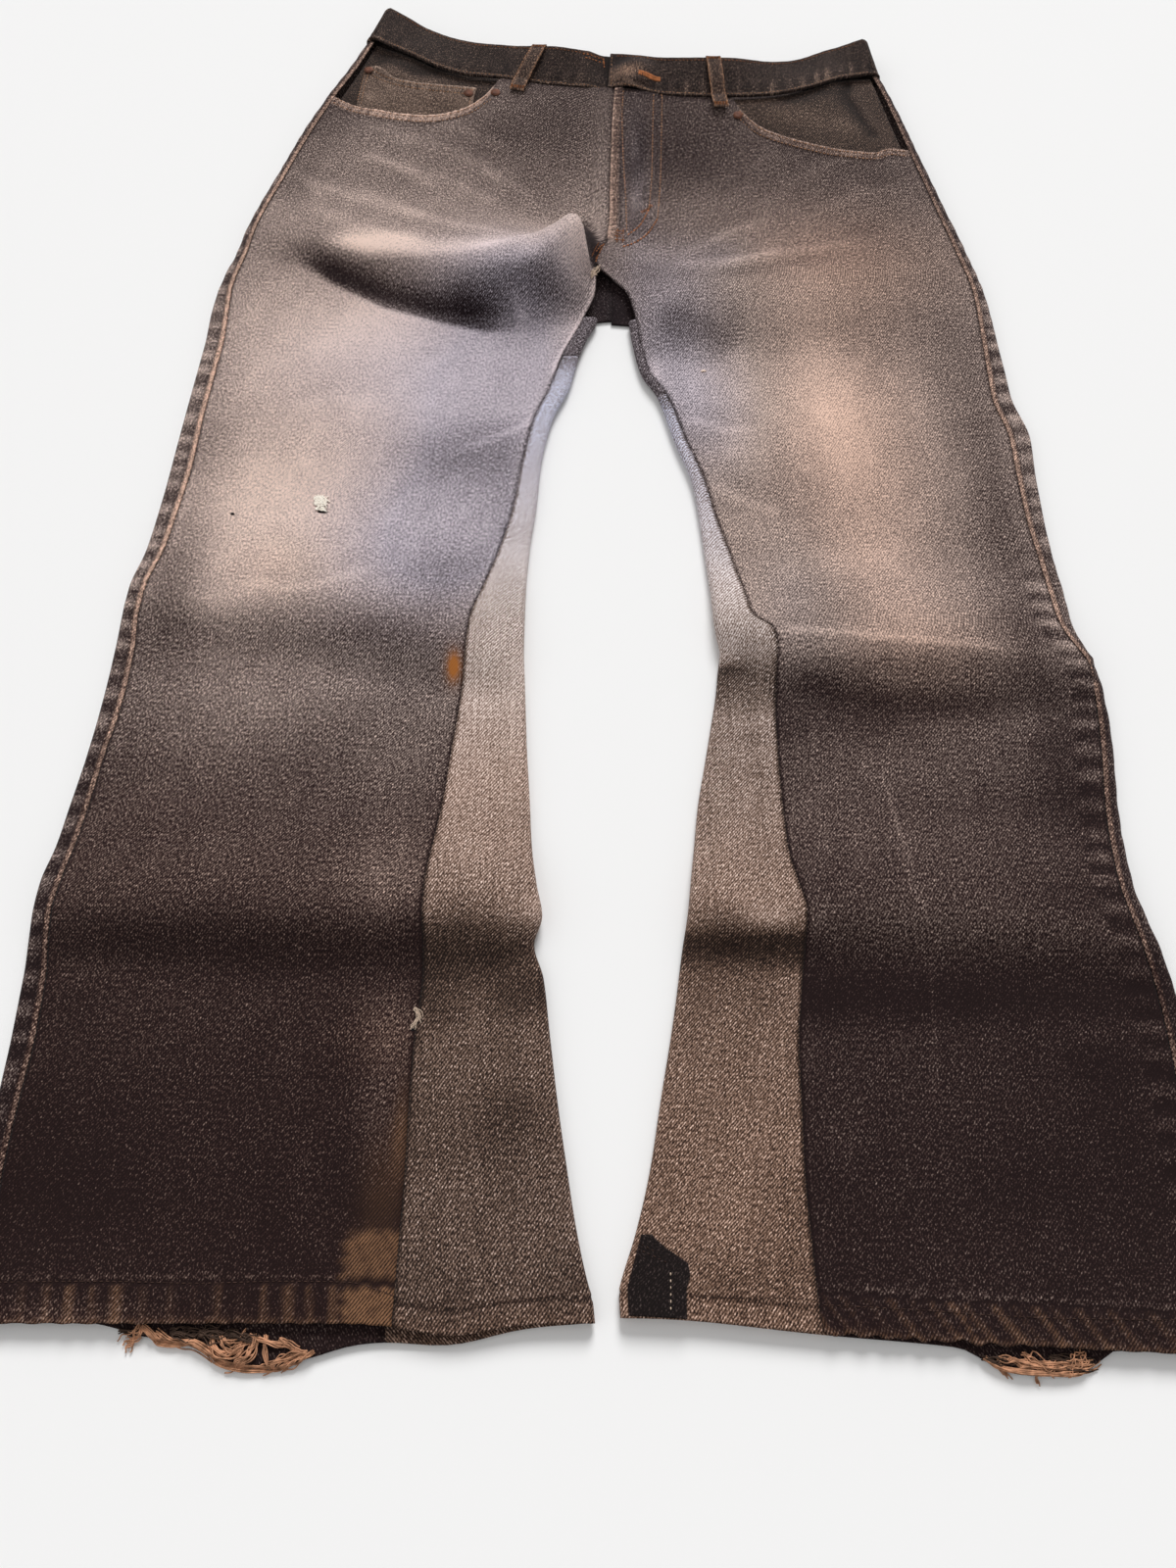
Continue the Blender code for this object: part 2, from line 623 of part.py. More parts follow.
def sheet_between(low, high, columns, lines):
    """Spots on the front between two lines of points, each read at the same fractions of its own length."""
    rows = []
    for line in range(lines + 1):
        share = line / lines
        row = []
        for column in range(columns + 1):
            a, b = low(column / columns), high(column / columns)
            row.append(top_spot(a[0] + (b[0] - a[0]) * share, a[1] + (b[1] - a[1]) * share))
        rows.append(row)
    return rows


def pocket_facing(leg):
    """The piece of denim that shows inside a front pocket's mouth, and runs on under the front panel."""
    mouth = pocket_mouth(leg)
    under = CLOTH + GAP + FACING_SLACK
    if leg is RIGHT:
        under += LIGHT_CLOTH + GAP          # the coin pocket lies between
    inner_x = mouth[-1][0] + leg.sign * FACING_ACROSS
    low_x = mouth[0][0] + leg.sign * FACING_EDGE
    high_x = leg.rows[-1].outseam + leg.sign * FACING_EDGE

    def low(share):
        x = low_x + (inner_x - low_x) * share
        edge = min(table_at(mouth, x), waist_at(x, "y") - FACING_FOOT)
        return x, edge - FACING_UNDER * smooth(share / FACING_TAPER)

    def high(share):
        x = high_x + (inner_x - high_x) * share
        return x, waist_at(x, "y")

    rows = trim(sheet_between(low, high, columns=9, lines=4), ends=(False, True), sides=(False, False))
    return cloth_wall(f"pocket_facing_{leg.name}", rows, cloth_colour("facing"), LIGHT_CLOTH, drop=under)


def coin_pocket():
    """The small pocket on the right facing; the mouth of the big one hides its lower end."""
    start, end = COIN_XS

    def low(share):
        x = start - COIN_SKEW + (end - start) * share
        return x, table_at(RIGHT_MOUTH, x) - COIN_UNDER * smooth(share / COIN_TAPER)

    def high(share):
        x = start + (end - start) * share
        return x, table_at(COIN_TOP, x)

    rows = sheet_between(low, high, columns=7, lines=2)
    return cloth_wall("coin_pocket", rows, cloth_colour("facing"), LIGHT_CLOTH, drop=CLOTH + GAP)


def back_pocket(leg):
    """A patch pocket with a pointed foot, flat between the seat and the floor."""
    bm = bmesh.new()
    lean = math.radians(BACK_POCKET_LEAN) * leg.sign
    centre = CENTRE_SEAM - leg.sign * BACK_POCKET_X
    corners = []
    for x, y in BACK_POCKET:
        across = x * math.cos(lean) - y * math.sin(lean)
        up = x * math.sin(lean) + y * math.cos(lean)
        corners.append(bm.verts.new((centre + across, BACK_POCKET_Y + up, 0)))
    face = bm.faces.new(corners)
    grown = bmesh.ops.extrude_face_region(bm, geom=[face])
    tops = [item for item in grown["geom"] if isinstance(item, bmesh.types.BMVert)]
    bmesh.ops.translate(bm, verts=tops, vec=(0, 0, UNDERSIDE_THICK))
    return finish_piece(f"back_pocket_{leg.name}", bm, cloth_colour("denim"))


# ---------------------------------------------------------------- waistband, loops and closure
OVERLAP_X = 18.0          # the left end of the band lies over the right from here
UNDERLAP_X = 60.0         # where the right end stops under it
UNDERLAP_SLACK = 0.8      # between the two
UNDERLAP_DROP = BAND_CLOTH + UNDERLAP_SLACK
DIP_END_X = 14.0          # the right end has dipped that far before the overlap
BUTTON_X = 40.0
BUTTON_SHARE = 0.42       # of the way up the band
BUTTON_BUMP = 4.4         # how far the band bulges over the button
BUMP_FLAT = 10.0          # the bulge is flat that near the button's middle, and gone at its reach
BUMP_REACH = 27.0
BAND_LINES = (0, 0.2, 0.42, 0.62, 0.82, 1)
RIGHT_BAND_XS = (
    -197, -180, -161, -130, -104, -78, -57.2, -33.8, -10.4, 0, 7.8, DIP_END_X, 26, 43.7, UNDERLAP_X)
LEFT_BAND_XS = (OVERLAP_X, 26, 34, 43.7, 52, 61.3, 72, 84.1, 106.8, 127, 144, 160, 194, 227, 243, 257.5)
BACK_BAND_STEPS = 12
SLOPE_REACH = 6.0         # the waist's slope across is read over this much to either side


def band_frame(x):
    """The waistband's lower edge at a place across, its slope up the band, and the way it faces."""
    low = np.array((x, waist_at(x, "y"), waist_at(x, "height") + BAND_PROUD))
    lean, rise = waist_at(x, "lean"), waist_at(x, "rise")
    slope = np.array((lean, math.sqrt(BAND_WIDTH ** 2 - lean ** 2 - rise ** 2), rise)) / BAND_WIDTH
    climb = waist_at(x + SLOPE_REACH, "height") - waist_at(x - SLOPE_REACH, "height")
    normal = np.cross((2 * SLOPE_REACH, 0, climb), slope)
    return low, slope, normal / np.linalg.norm(normal)


def band_spot(x, share):
    low, slope, normal = band_frame(x)
    return Spot(low + slope * (BAND_WIDTH * share), normal)


def button_bump(place):
    middle = band_spot(BUTTON_X, BUTTON_SHARE).place
    away = math.hypot(place[0] - middle[0], place[1] - middle[1])
    return BUTTON_BUMP * (1 - smooth((away - BUMP_FLAT) / (BUMP_REACH - BUMP_FLAT)))


def front_band(leg, xs):
    """Half of the front waistband; the left half bulges over the button, the right half dips under it."""
    rows = []
    for x in xs:
        row = [band_spot(x, share) for share in BAND_LINES]
        if leg is LEFT:
            row = [Spot(spot.place + spot.normal * button_bump(spot.place), spot.normal) for spot in row]
        else:
            drop = UNDERLAP_DROP * smooth(x / DIP_END_X)
            row = [Spot(spot.place - spot.normal * drop, spot.normal) for spot in row]
        rows.append(row)
    side = (True, False) if leg is RIGHT else (False, True)
    rows = trim(rows, ends=side, sides=(True, False))
    return cloth_wall(f"waistband_{leg.name}", rows, cloth_colour("band"), BAND_CLOTH)


def back_band():
    """The back of the waistband, with the turn at each side up to the front."""
    sides = []
    for leg in (RIGHT, LEFT):
        row = leg.rows[-1]
        low, slope, _ = band_frame(row.outseam)
        rise = waist_at(row.outseam, "rise")
        reach = abs(row.outer - row.outseam)
        turn_rows = []
        for angle in FOLD_ANGLES:
            turn = math.radians(angle)
            out = -leg.sign * math.cos(turn)
            half = (low[2] - SEAT_LIFT) / 2
            place = np.array((row.outseam + out * reach, low[1], SEAT_LIFT + half + half * math.sin(turn)))
            normal = np.array((out / reach, 0, math.sin(turn) / half))
            normal /= np.linalg.norm(normal)
            line = []
            for share in BAND_LINES:
                lift = rise * share * (1 + math.sin(turn)) / 2
                step = np.array((slope[0], slope[1], 0)) * (BAND_WIDTH * share)
                line.append(Spot(place + step + np.array((0, 0, lift)), normal))
            turn_rows.append(line)
        sides.append(turn_rows)
    start_x, end_x = (rows[-1][0].place[0] for rows in sides)
    flat = []
    for number in range(1, BACK_BAND_STEPS):
        x = start_x + (end_x - start_x) * number / BACK_BAND_STEPS
        leg = RIGHT if x < CENTRE_SEAM else LEFT
        y = floor_y(leg, leg.rows[-1], x)
        lean = waist_at(x, "lean")
        up = math.sqrt(BAND_WIDTH ** 2 - lean ** 2)
        flat.append([
            Spot(np.array((x + lean * share, y + up * share, SEAT_LIFT)), np.array((0, 0, -1.0)))
            for share in BAND_LINES])
    rows = sides[0] + flat + sides[1][::-1]
    rows = trim(rows, ends=(True, True), sides=(True, False))
    return cloth_wall("waistband_back", rows, cloth_colour("band"), BAND_CLOTH)


LOOP_WIDTH = 13.0
LOOP_HANG = 15.0          # how far a front loop hangs on below the band
LOOP_LIFT = 1.6           # its arch over the band
LOOP_TOP = 0.985          # its upper end stays that far up the band
LOOP_SHARES = (-0.02, 0.12, 0.35, 0.65, 0.88, 1.0, 1.08, 1.0 + LOOP_HANG / BAND_WIDTH)     # 0 at the band's top
BACK_LOOP_HANG = 12.0
BACK_LOOP_SHORT = 1.0     # a back loop ends this far below the band's top
FrontLoop = namedtuple("FrontLoop", "name x foot_x")          # x at the band's top, and at its lower edge
FRONT_LOOPS = (FrontLoop("belt_loop_front_right", -49, -59), FrontLoop("belt_loop_front_left", 110, 115))
BACK_LOOPS = (("belt_loop_back_right", -118), ("belt_loop_back_centre", 19), ("belt_loop_back_left", 168))


def front_loop(loop):
    """A strip sewn down at both ends, arched over the waistband and run on over the panel below."""
    rows = []
    for share in LOOP_SHARES:
        x = loop.x + (loop.foot_x - loop.x) * share
        up = 1 - share
        arch = LOOP_LIFT * math.sin(math.pi * min(max(share, 0), 1))
        line = []
        for side in (-0.5, 0.0, 0.5):
            across = x + side * LOOP_WIDTH
            spot = band_spot(across, min(max(up, 0.0), LOOP_TOP))
            if up <= 0:
                y = spot.place[1] + up * BAND_WIDTH
                height = max(top_height(across, y) + BAND_PROUD, spot.place[2])
                spot = Spot(np.array((across, y, height)), np.array((0, 0, 1.0)))
            line.append(Spot(spot.place + spot.normal * (arch + GAP + LIGHT_CLOTH), spot.normal))
        rows.append(line)
    return cloth_wall(loop.name, rows, cloth_colour("band"), LIGHT_CLOTH)


def back_loop(name, x):
    """A loop under the back band, pressed flat between it and the floor."""
    leg = RIGHT if x < CENTRE_SEAM else LEFT
    y = floor_y(leg, leg.rows[-1], x)
    low, high = y - BACK_LOOP_HANG, y + BAND_WIDTH - BACK_LOOP_SHORT
    bm = bmesh.new()
    bmesh.ops.create_cube(bm, size=1.0)
    bmesh.ops.scale(bm, verts=bm.verts, vec=(LOOP_WIDTH, high - low, UNDERSIDE_THICK))
    bmesh.ops.translate(bm, verts=bm.verts, vec=(x, (low + high) / 2, UNDERSIDE_THICK / 2))
    return finish_piece(name, bm, cloth_colour("band"))


BUTTON_RADIUS = 8.5
BUTTON_PROFILE = (        # radius and height: a short post and a domed head
    (4.0, GAP), (4.0, 1.2), (BUTTON_RADIUS, 1.2), (BUTTON_RADIUS, 2.4), (BUTTON_RADIUS - 1.5, 3.0))
RIVET_RADIUS = 4.2
RIVET_PROFILE = ((RIVET_RADIUS, GAP), (RIVET_RADIUS, 0.8), (RIVET_RADIUS * 0.6, 1.3))
WELD = 1e-4               # points nearer than this are one


def button():
    """A plain shank button on the underlap."""
    spot = band_spot(BUTTON_X, BUTTON_SHARE)
    top = spot.place - spot.normal * UNDERLAP_DROP
    return turned("button", BUTTON_PROFILE, top, spot.normal, BUTTON_COLOUR, sides=24)


def turned(name, profile, foot, axis, colour, sides):
    """A round metal piece: its profile, as radius and height, spun about its axis."""
    bm = bmesh.new()
    points = [(0.0, profile[0][1])] + list(profile) + [(0.0, profile[-1][1])]
    verts = [bm.verts.new((radius, 0, height)) for radius, height in points]
    edges = [bm.edges.new(pair) for pair in zip(verts, verts[1:])]
    bmesh.ops.spin(
        bm, geom=verts + edges, cent=(0, 0, 0), axis=(0, 0, 1), angle=2 * math.pi, steps=sides, use_merge=True)
    bmesh.ops.remove_doubles(bm, verts=bm.verts, dist=WELD)
    z = np.asarray(axis, float)
    x = np.cross((0, 1.0, 0), z)
    x /= np.linalg.norm(x)
    y = np.cross(z, x)
    for vert in bm.verts:
        vert.co = foot + x * vert.co.x + y * vert.co.y + z * vert.co.z
    return finish_piece(name, bm, (colour, *METAL))


Rivet = namedtuple("Rivet", "name x y drop")      # drop: how far under the front's surface its cloth lies
RIVETS = (
    Rivet("rivet_coin_outer", -199.5, 1029.5, CLOTH + GAP - 0.5),
    Rivet("rivet_coin_inner", -106.0, 986.0, CLOTH + GAP),
    Rivet("rivet_pocket_left", 131.5, 958.0, 0.0),
    Rivet("rivet_pocket_right", -82.0, 985.0, 0.0),
)


def rivet(place):
    """A small domed rivet head, on the cloth it holds."""
    spot = top_spot(place.x, place.y)
    foot = spot.place - spot.normal * place.drop
    return turned(place.name, RIVET_PROFILE, foot, spot.normal, RIVET_COLOUR, sides=12)


ZIP_YS = (836.0, 985.0)
ZIP_XS = (24.5, 33.5, 42.5)
ZIP_STEPS = 6
ZIP_THICK = 1.0


def zip_strip():
    """The closed zip, a plain strip under the left front beside its fly edge."""
    rows = [[top_spot(x, y) for x in ZIP_XS] for y in np.linspace(*ZIP_YS, ZIP_STEPS + 1)]
    return cloth_wall("zip_strip", rows, cloth_colour("zip"), ZIP_THICK, drop=CLOTH + GAP)


PATCH_WIDTH = ((0, 32), (22, 37), (28, 33), (36, 14), (42, 6))     # height over the hem, and width there
PATCH_LINES = (0, 10, 20, 31, 42)
PATCH_RISE = 4.0          # its lower edge over the hem line
PATCH_COLUMNS = (0.02, 0.35, 0.7, 1)


def corner_patch():
    """The dark patch sewn on the inner corner of the left wedge's hem."""
    rows = []
    for height in PATCH_LINES:
        start = row_width(LEFT, height, "inner") + FOLD_REACH
        tilt = row_width(LEFT, height, "tilt") / (row_width(LEFT, height, "outer") - start)
        row = []
        for share in PATCH_COLUMNS:
            across = table_at(PATCH_WIDTH, height) * share
            spot = top_spot(start + across, height + PATCH_RISE + tilt * across)
            row.append(Spot(spot.place + spot.normal * (GAP + LIGHT_CLOTH), spot.normal))
        rows.append(row)
    return cloth_wall("patch_left", rows, cloth_colour("patch"), LIGHT_CLOTH)


# ---------------------------------------------------------------- frayed hems
Fray = namedtuple("Fray", "leg start end reach turn")     # start and end across; the strands' length and their lean
FRAYS = (
    Fray(RIGHT, -262, -164, 5, 3),
    Fray(LEFT, 224, 270, 3, -1.5),
)
STRAND_PITCH = 2.9
STRAND_SCALES = (0.55, 0.8, 0.8)          # each third of a strand is this much thinner than the last
STRAND_FLATTEN = 0.8                      # and this much flatter
STRAND_LEANS = (0.15, 0.35, 0.5)          # and leans by this share of its turn
STRAND_DROPS = (0, -0.12, -0.1)           # and comes down by this much
STRAND_SHORTEST = 0.35                    # at the ends of the row, against its middle
STRAND_UNEVEN = 0.28                      # every few strands are this much shorter than their neighbours
STRAND_BEAT = 2.4                         # radians from one strand to the next, for that unevenness
FRAY_GAP = 0.5            # between the panel's edge and the strip that the strands grow from
FRAY_STRIP = 1.6          # that strip's depth
FRAY_LOW = 0.5
FRAY_THICK = 1.2


def fray(leg, start, end, reach, turn):
    """Loose threads below a torn back hem, fused to a narrow strip just off the panel's edge."""
    count = int((end - start) / STRAND_PITCH)
    low, high = FRAY_LOW, FRAY_LOW + FRAY_THICK
    hem = [tuple(spot.place[:2]) for spot in floor_run(leg, leg.rows[0])]
    bm = bmesh.new()
    lines = []
    for x in np.linspace(start, end, count + 1):
        y = table_at(hem, x) - FRAY_GAP
        corners = ((y, low), (y, high), (y - FRAY_STRIP, high), (y - FRAY_STRIP, low))
        lines.append([bm.verts.new((x, *corner)) for corner in corners])
    fronts = []
    for a, b in zip(lines, lines[1:]):
        for side in range(4):
            beyond = (side + 1) % 4
            face = bm.faces.new((a[side], a[beyond], b[beyond], b[side]))
            if side == 2:
                fronts.append(face)
    bm.faces.new(lines[0])
    bm.faces.new(lines[-1][::-1])
    bmesh.ops.recalc_face_normals(bm, faces=bm.faces)
    for number, face in enumerate(fronts):
        middle = math.sin(math.pi * (number + 0.5) / len(fronts))
        length = reach * (STRAND_SHORTEST + (1 - STRAND_SHORTEST) * middle)
        length *= 1 - STRAND_UNEVEN * (1 - math.cos(STRAND_BEAT * number)) / 2
        for scale, lean, drop in zip(STRAND_SCALES, STRAND_LEANS, STRAND_DROPS):
            grown = bmesh.ops.extrude_discrete_faces(bm, faces=[face])["faces"][0]
            to_centre = Matrix.Translation(-grown.calc_center_median())
            bmesh.ops.scale(bm, verts=grown.verts, vec=(scale, 1, STRAND_FLATTEN), space=to_centre)
            bmesh.ops.translate(bm, verts=grown.verts, vec=(turn * lean, -length / len(STRAND_SCALES), drop))
            face = grown
    return finish_piece(f"fray_{leg.name}", bm, cloth_colour("thread"))


# ---------------------------------------------------------------- the jeans
for old in list(bpy.data.objects):
    bpy.data.objects.remove(old, do_unlink=True)
collection = bpy.data.collections.new("bootcut_jeans")
bpy.context.scene.collection.children.link(collection)

for side in (RIGHT, LEFT):
    front_panel(side)
    wedge_panel(side)
    back_panel(side)
    yoke(side)
    back_pocket(side)
    pocket_facing(side)
coin_pocket()
front_band(RIGHT, RIGHT_BAND_XS)
front_band(LEFT, LEFT_BAND_XS)
back_band()
for place in FRONT_LOOPS:
    front_loop(place)
for label, across in BACK_LOOPS:
    back_loop(label, across)
button()
for place in RIVETS:
    rivet(place)
zip_strip()
corner_patch()
for edge in FRAYS:
    fray(*edge)
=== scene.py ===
import math

import bmesh
import bpy
import numpy as np
from mathutils import Matrix, Vector
from mathutils.bvhtree import BVHTree


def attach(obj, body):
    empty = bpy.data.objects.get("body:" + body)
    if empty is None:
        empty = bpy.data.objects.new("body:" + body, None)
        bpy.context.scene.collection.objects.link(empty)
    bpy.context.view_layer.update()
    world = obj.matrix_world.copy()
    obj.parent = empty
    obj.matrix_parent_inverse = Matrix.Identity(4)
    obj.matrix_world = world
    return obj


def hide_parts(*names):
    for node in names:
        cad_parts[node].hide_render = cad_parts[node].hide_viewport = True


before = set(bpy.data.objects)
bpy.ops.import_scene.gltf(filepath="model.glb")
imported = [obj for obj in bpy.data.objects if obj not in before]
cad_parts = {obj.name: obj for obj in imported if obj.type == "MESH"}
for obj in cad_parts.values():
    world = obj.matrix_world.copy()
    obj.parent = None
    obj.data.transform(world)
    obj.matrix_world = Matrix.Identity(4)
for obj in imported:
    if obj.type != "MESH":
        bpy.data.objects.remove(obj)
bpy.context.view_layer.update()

# ==== Studio ================================================================================================
# The jeans lie face up on a pale table, seen steeply from the hem end through a wide lens, 0.70 m up.
# One broad soft lamp stands beyond the waist, and a pale room fills in the shadows.
ACROSS, ALONG = 6.5, 536.5          # the box's middle, in millimetres from between the legs and from the hems
CAMERA_SPOT = (0.0, 31.3)           # from the same two lines
CAMERA_UP = 0.70
LOOKS_DOWN = 67.0                   # degrees


def shown(name, data):
    """A new object with this data, in the scene."""
    thing = bpy.data.objects.new(name, data)
    bpy.context.scene.collection.objects.link(thing)
    return thing


def mesh_of(name, shape):
    """Turn a bmesh into a mesh."""
    mesh = bpy.data.meshes.new(name)
    shape.to_mesh(mesh)
    shape.free()
    return mesh


def set_on(node, **values):
    """Set constants on a node's sockets; an underscore stands for a space in their names."""
    for name, value in values.items():
        node.inputs[name.replace("_", " ")].default_value = value
    return node


def blank_look(name):
    look = bpy.data.materials.new(name)
    look.use_nodes = True
    return look, look.node_tree.nodes, look.node_tree.links, look.node_tree.nodes["Principled BSDF"]


lens = bpy.data.cameras.new("camera")
lens.sensor_width, lens.sensor_fit, lens.lens = 36.0, "AUTO", 25.875
camera = shown("camera", lens)
camera.location = ((CAMERA_SPOT[0] - ACROSS) / 1000, (CAMERA_SPOT[1] - ALONG) / 1000, CAMERA_UP)
camera.rotation_euler = (math.radians(90 - LOOKS_DOWN), 0, 0)
bpy.context.scene.camera = camera
bpy.context.scene.view_settings.view_transform = "Standard"
for name, strength, softness, turn in (("key_beyond_waist", 2.9, 24, (-56, 0, -8)),
                                       ("fill_from_left", 0.4, 60, (0, -48, 0))):
    light = bpy.data.lights.new(name, "SUN")
    light.energy, light.angle = strength, math.radians(softness)
    shown(name, light).rotation_euler = [math.radians(angle) for angle in turn]

room = bpy.data.worlds.new("pale_room")
bpy.context.scene.world = room
room.use_nodes = True
set_on(room.node_tree.nodes["Background"], Color=(1.0, 0.99, 0.98, 1), Strength=0.42)
table_top, _, _, shader = blank_look("pale_table")
set_on(shader, Base_Color=(0.88, 0.88, 0.88, 1), Roughness=0.9)
board = bmesh.new()
bmesh.ops.create_grid(board, x_segments=1, y_segments=1, size=4.0)
bmesh.ops.translate(board, verts=board.verts, vec=(0, 0, -0.0006))
table = shown("table", mesh_of("table", board))
table.data.materials.append(table_top)

# ==== Fronts ================================================================================================
# Two front panels of heavy washed twill denim, with curved pocket mouths and felled outseams.  The hems are
# turned up twice and have roped in the wash.  The dye is worn off the thighs and knees and darkest toward the
# hems.  The creases and the slopes under the big folds are darker, partly dye left in them and partly painted
# shade, and the crest of the right thigh's roll carries a painted highlight.
CLOTH = 1.4                         # millimetres, one layer
HEM_CLOTH = 2.6                     # at the turned hem
HEM_TURN = 16.0                     # which is that thick so far up
CENTRE_SEAM = 19.0
FOLD_REACH = 4.0                    # how far in from its edge a side fold has turned flat
SEAT_LIFT, SEAT_FROM, SEAT_TO = 1.6, 742.0, 785.0      # the seat lies on its pockets and loops
MIDDLE_HEIGHT = ((0, 7.5), (20, 7.2), (60, 5.4), (690, 5.2), (770, 8.5), (820, 10.0), (880, 11.0))
EDGE_HEIGHT = ((0, 7.6), (60, 7.0), (690, 7.0), (800, 9.0), (1000, 11.0))
FOLD_BLEND = 20.0
HIP_FROM, HIP_TO = 870.0, 1000.0
# The waist on the front: x, y and height of the band's lower edge, its lean across and its rise.
WAIST = (
    (-197, 1068, 14, 14, 4), (-180, 1055, 15.5, 14, 2), (-161, 1041.5, 17, 13, -1),
    (-130, 1018, 20, 11, 1.5), (-104, 1007, 21, 9, 3.5), (-78, 1004.5, 20.5, 7, 3.5),
    (-57.2, 1001, 20, 6, 6), (-33.8, 998, 18.5, 5, 9.5), (-10.4, 998, 16.5, 4, 8), (7.8, 998.5, 15.5, 3, 6),
    (26, 998.5, 15.5, 2, 4.5), (43.7, 995, 16, 2, 5), (61.3, 988.5, 17, 1, 7), (84.1, 982.5, 19.5, 1, 8.5),
    (106.8, 980, 20.5, 1, 9.5), (127, 979.3, 21, 1, 9), (144, 980, 21, 0, 6.5), (160, 981.5, 21, -1, 3.5),
    (194, 992.5, 19.5, -4, -0.5), (227, 1011, 15.5, -6, 0.5), (257.5, 1020, 13, -8, 7))
# Rows across each leg: y at the inner end, tilt, outer fold, outseam, the front's inner seam, inner fold, and y
# at the seat's centre seam.
RIGHT_ROWS = (
    (0, 0, -352, -337, -109, 4), (14, 0, -352, -337.5, -108.7, 2), (18, 0, -352, -338, -108.5, 0.5),
    (45, 0, -353, -340, -108, -6), (80, 0, -354, -341.5, -107, -12), (120, 0, -354, -340, -107, -18.5),
    (160, 0, -353, -337.5, -106, -23.5), (195, 0, -353, -338, -103.3, -28),
    (216, 0, -353.5, -339.5, -103.5, -34), (234, 0, -353.5, -339.5, -104.5, -29),
    (255, 0, -352.5, -337, -104, -33), (280, 0, -347.5, -333, -101, -36.5),
    (310, 0, -344.5, -330.5, -97, -38.5), (345, 0, -340, -327, -93.5, -41),
    (375, 0, -337, -322.5, -90, -42.5), (405, 0, -335, -320, -87, -44), (430, 0, -334, -319.5, -85.5, -45),
    (450, 0, -333.5, -320.5, -84, -45), (478, 0, -331, -317, -76, -45),
    (510, 0, -323.5, -308.5, -66, -43.5), (550, 0, -320, -304.5, -56, -39),
    (592, 0, -317, -300.5, -50, -35.5), (633, 0, -314, -298.5, -42, -28), (665, 0, -311.5, -296, -30, -15),
    (696, 0, -309, -293.5, -21, -7.5), (716, 0, -307.5, -292, -12, -1), (737, 0, -307, -292, -3, 7.5),
    (762, 0, -304.5, -292, 6, None, 748), (786, 0, -299.5, -288.5, 7, None, 772),
    (800, 3, -294.5, -284.5, 10, None, 788), (820, 8, -289.5, -280, 17, None, 811),
    (845, 16, -280.5, -271.5, 20, None, 840), (875, 26, -268, -259.5, 20.5, None, 872),
    (910, 37, -253, -244.5, 21.5, None, 908), (945, 48, -234.5, -226.5, 22.5, None, 940),
    (975, 58, -218, -210, 24, None, 972), (1001, 67, -204.5, -197, 26, None, 1006))
LEFT_ROWS = (
    (0, -17, 363, 350, 130.5, 18), (14, -15, 364, 351, 129.5, 17.5), (18, -14, 364, 351, 129, 18.5),
    (45, -9, 365, 352, 128, 27), (80, -5, 366, 353, 127, 36), (120, -2, 367, 354, 128, 43.5),
    (155, 0, 367, 354, 129, 50), (188, 0, 365, 352.5, 133, 55.5), (213, 0, 360.5, 348, 136.5, 59.5),
    (236, 0, 354, 342.5, 138, 63.5), (255, 0, 351, 340, 134, 66), (280, 0, 351, 341, 130, 69.5),
    (310, 0, 352.5, 343, 129.5, 73), (345, 0, 356, 347, 129, 79.5), (372, 0, 358, 349.5, 129, 84.5),
    (395, 0, 358, 350.5, 130, 88.5), (412, 0, 356.5, 349, 131, 90.5), (427, 0, 350, 341.5, 132, 92.5),
    (440, 0, 345, 335, 129.5, 90.5), (452, 0, 344, 332.5, 116, 89.5), (475, 0, 343.5, 331.5, 111.5, 88.5),
    (505, 0, 341, 329, 105, 86), (540, 0, 339.5, 325.5, 95.5, 83), (575, 0, 339.5, 324.5, 88, 78),
    (614, 0, 341, 324, 75, 66), (657, 0, 332, 316, 62, 54.5), (680, 0, 331, 316, 48.5, 42),
    (705, 0, 329.5, 316, 42.5, 36.5), (733, 0, 328, 316, 38.5, 33), (762, 0, 325.5, 315, 31, None, 748),
    (776, 0, 323, 313, 19, None, 761), (786, 0, 321, 311, 7, None, 772),
    (800, 1, 317.5, 307.5, 10, None, 788), (820, 2, 313, 303, 17, None, 811),
    (845, 5, 306, 296.5, 20, None, 840), (875, 8, 298.5, 289.5, 20.5, None, 872),
    (910, 11, 289.5, 281, 21.5, None, 908), (945, 14, 281, 273, 22.5, None, 940),
    (975, 17, 273, 265.5, 24, None, 972), (1001, 19, 265, 257.5, 26, None, 1006))
# The big folds' crests: x, y, height, and how far they fall away below and above.
FOLDS = (
    ((-292, 836, 0, 30, 60), (-236, 818, 6, 38, 80), (-160, 795, 14, 42, 95), (-95, 774, 23, 46, 100),
    (-45, 770, 31, 46, 80), (-15, 795, 39, 66, 44), (6, 800, 8, 60, 34), (26, 800, 0, 40, 30)),
    ((-341, 486, 3, 45, 90), (-283, 474, 8, 44, 110), (-111, 436, 10, 42, 110), (-42, 425, 3, 40, 90)),
    ((-358, 242, 4, 42, 80), (-300, 242, 12, 48, 95), (-107, 240, 13, 48, 95), (-60, 238, 12, 42, 80),
    (-28, 238, 6, 26, 50)), ((32, 750, 1, 50, 80), (95, 745, 8, 60, 90), (165, 752, 8, 60, 100),
    (250, 765, 2, 50, 80), (300, 775, 0, 50, 80)), ((80, 449, 4, 28, 60), (100, 446, 9, 34, 60),
    (132, 440, 13, 62, 80), (188, 438, 15, 68, 90), (277, 431, 13, 62, 90), (350, 420, 5, 48, 60)),
    ((56, 236, 4, 28, 50), (95, 238, 12, 36, 70), (137, 240, 12, 42, 80), (188, 246, 12, 48, 90),
    (325, 232, 8, 46, 80), (366, 226, 2, 40, 60)))
WAIST_ROW = 1001.0
POCKET_ROW = 875.0                  # above it the front's rows close up under the pocket's mouth
MOUTH_SHARE = 0.6
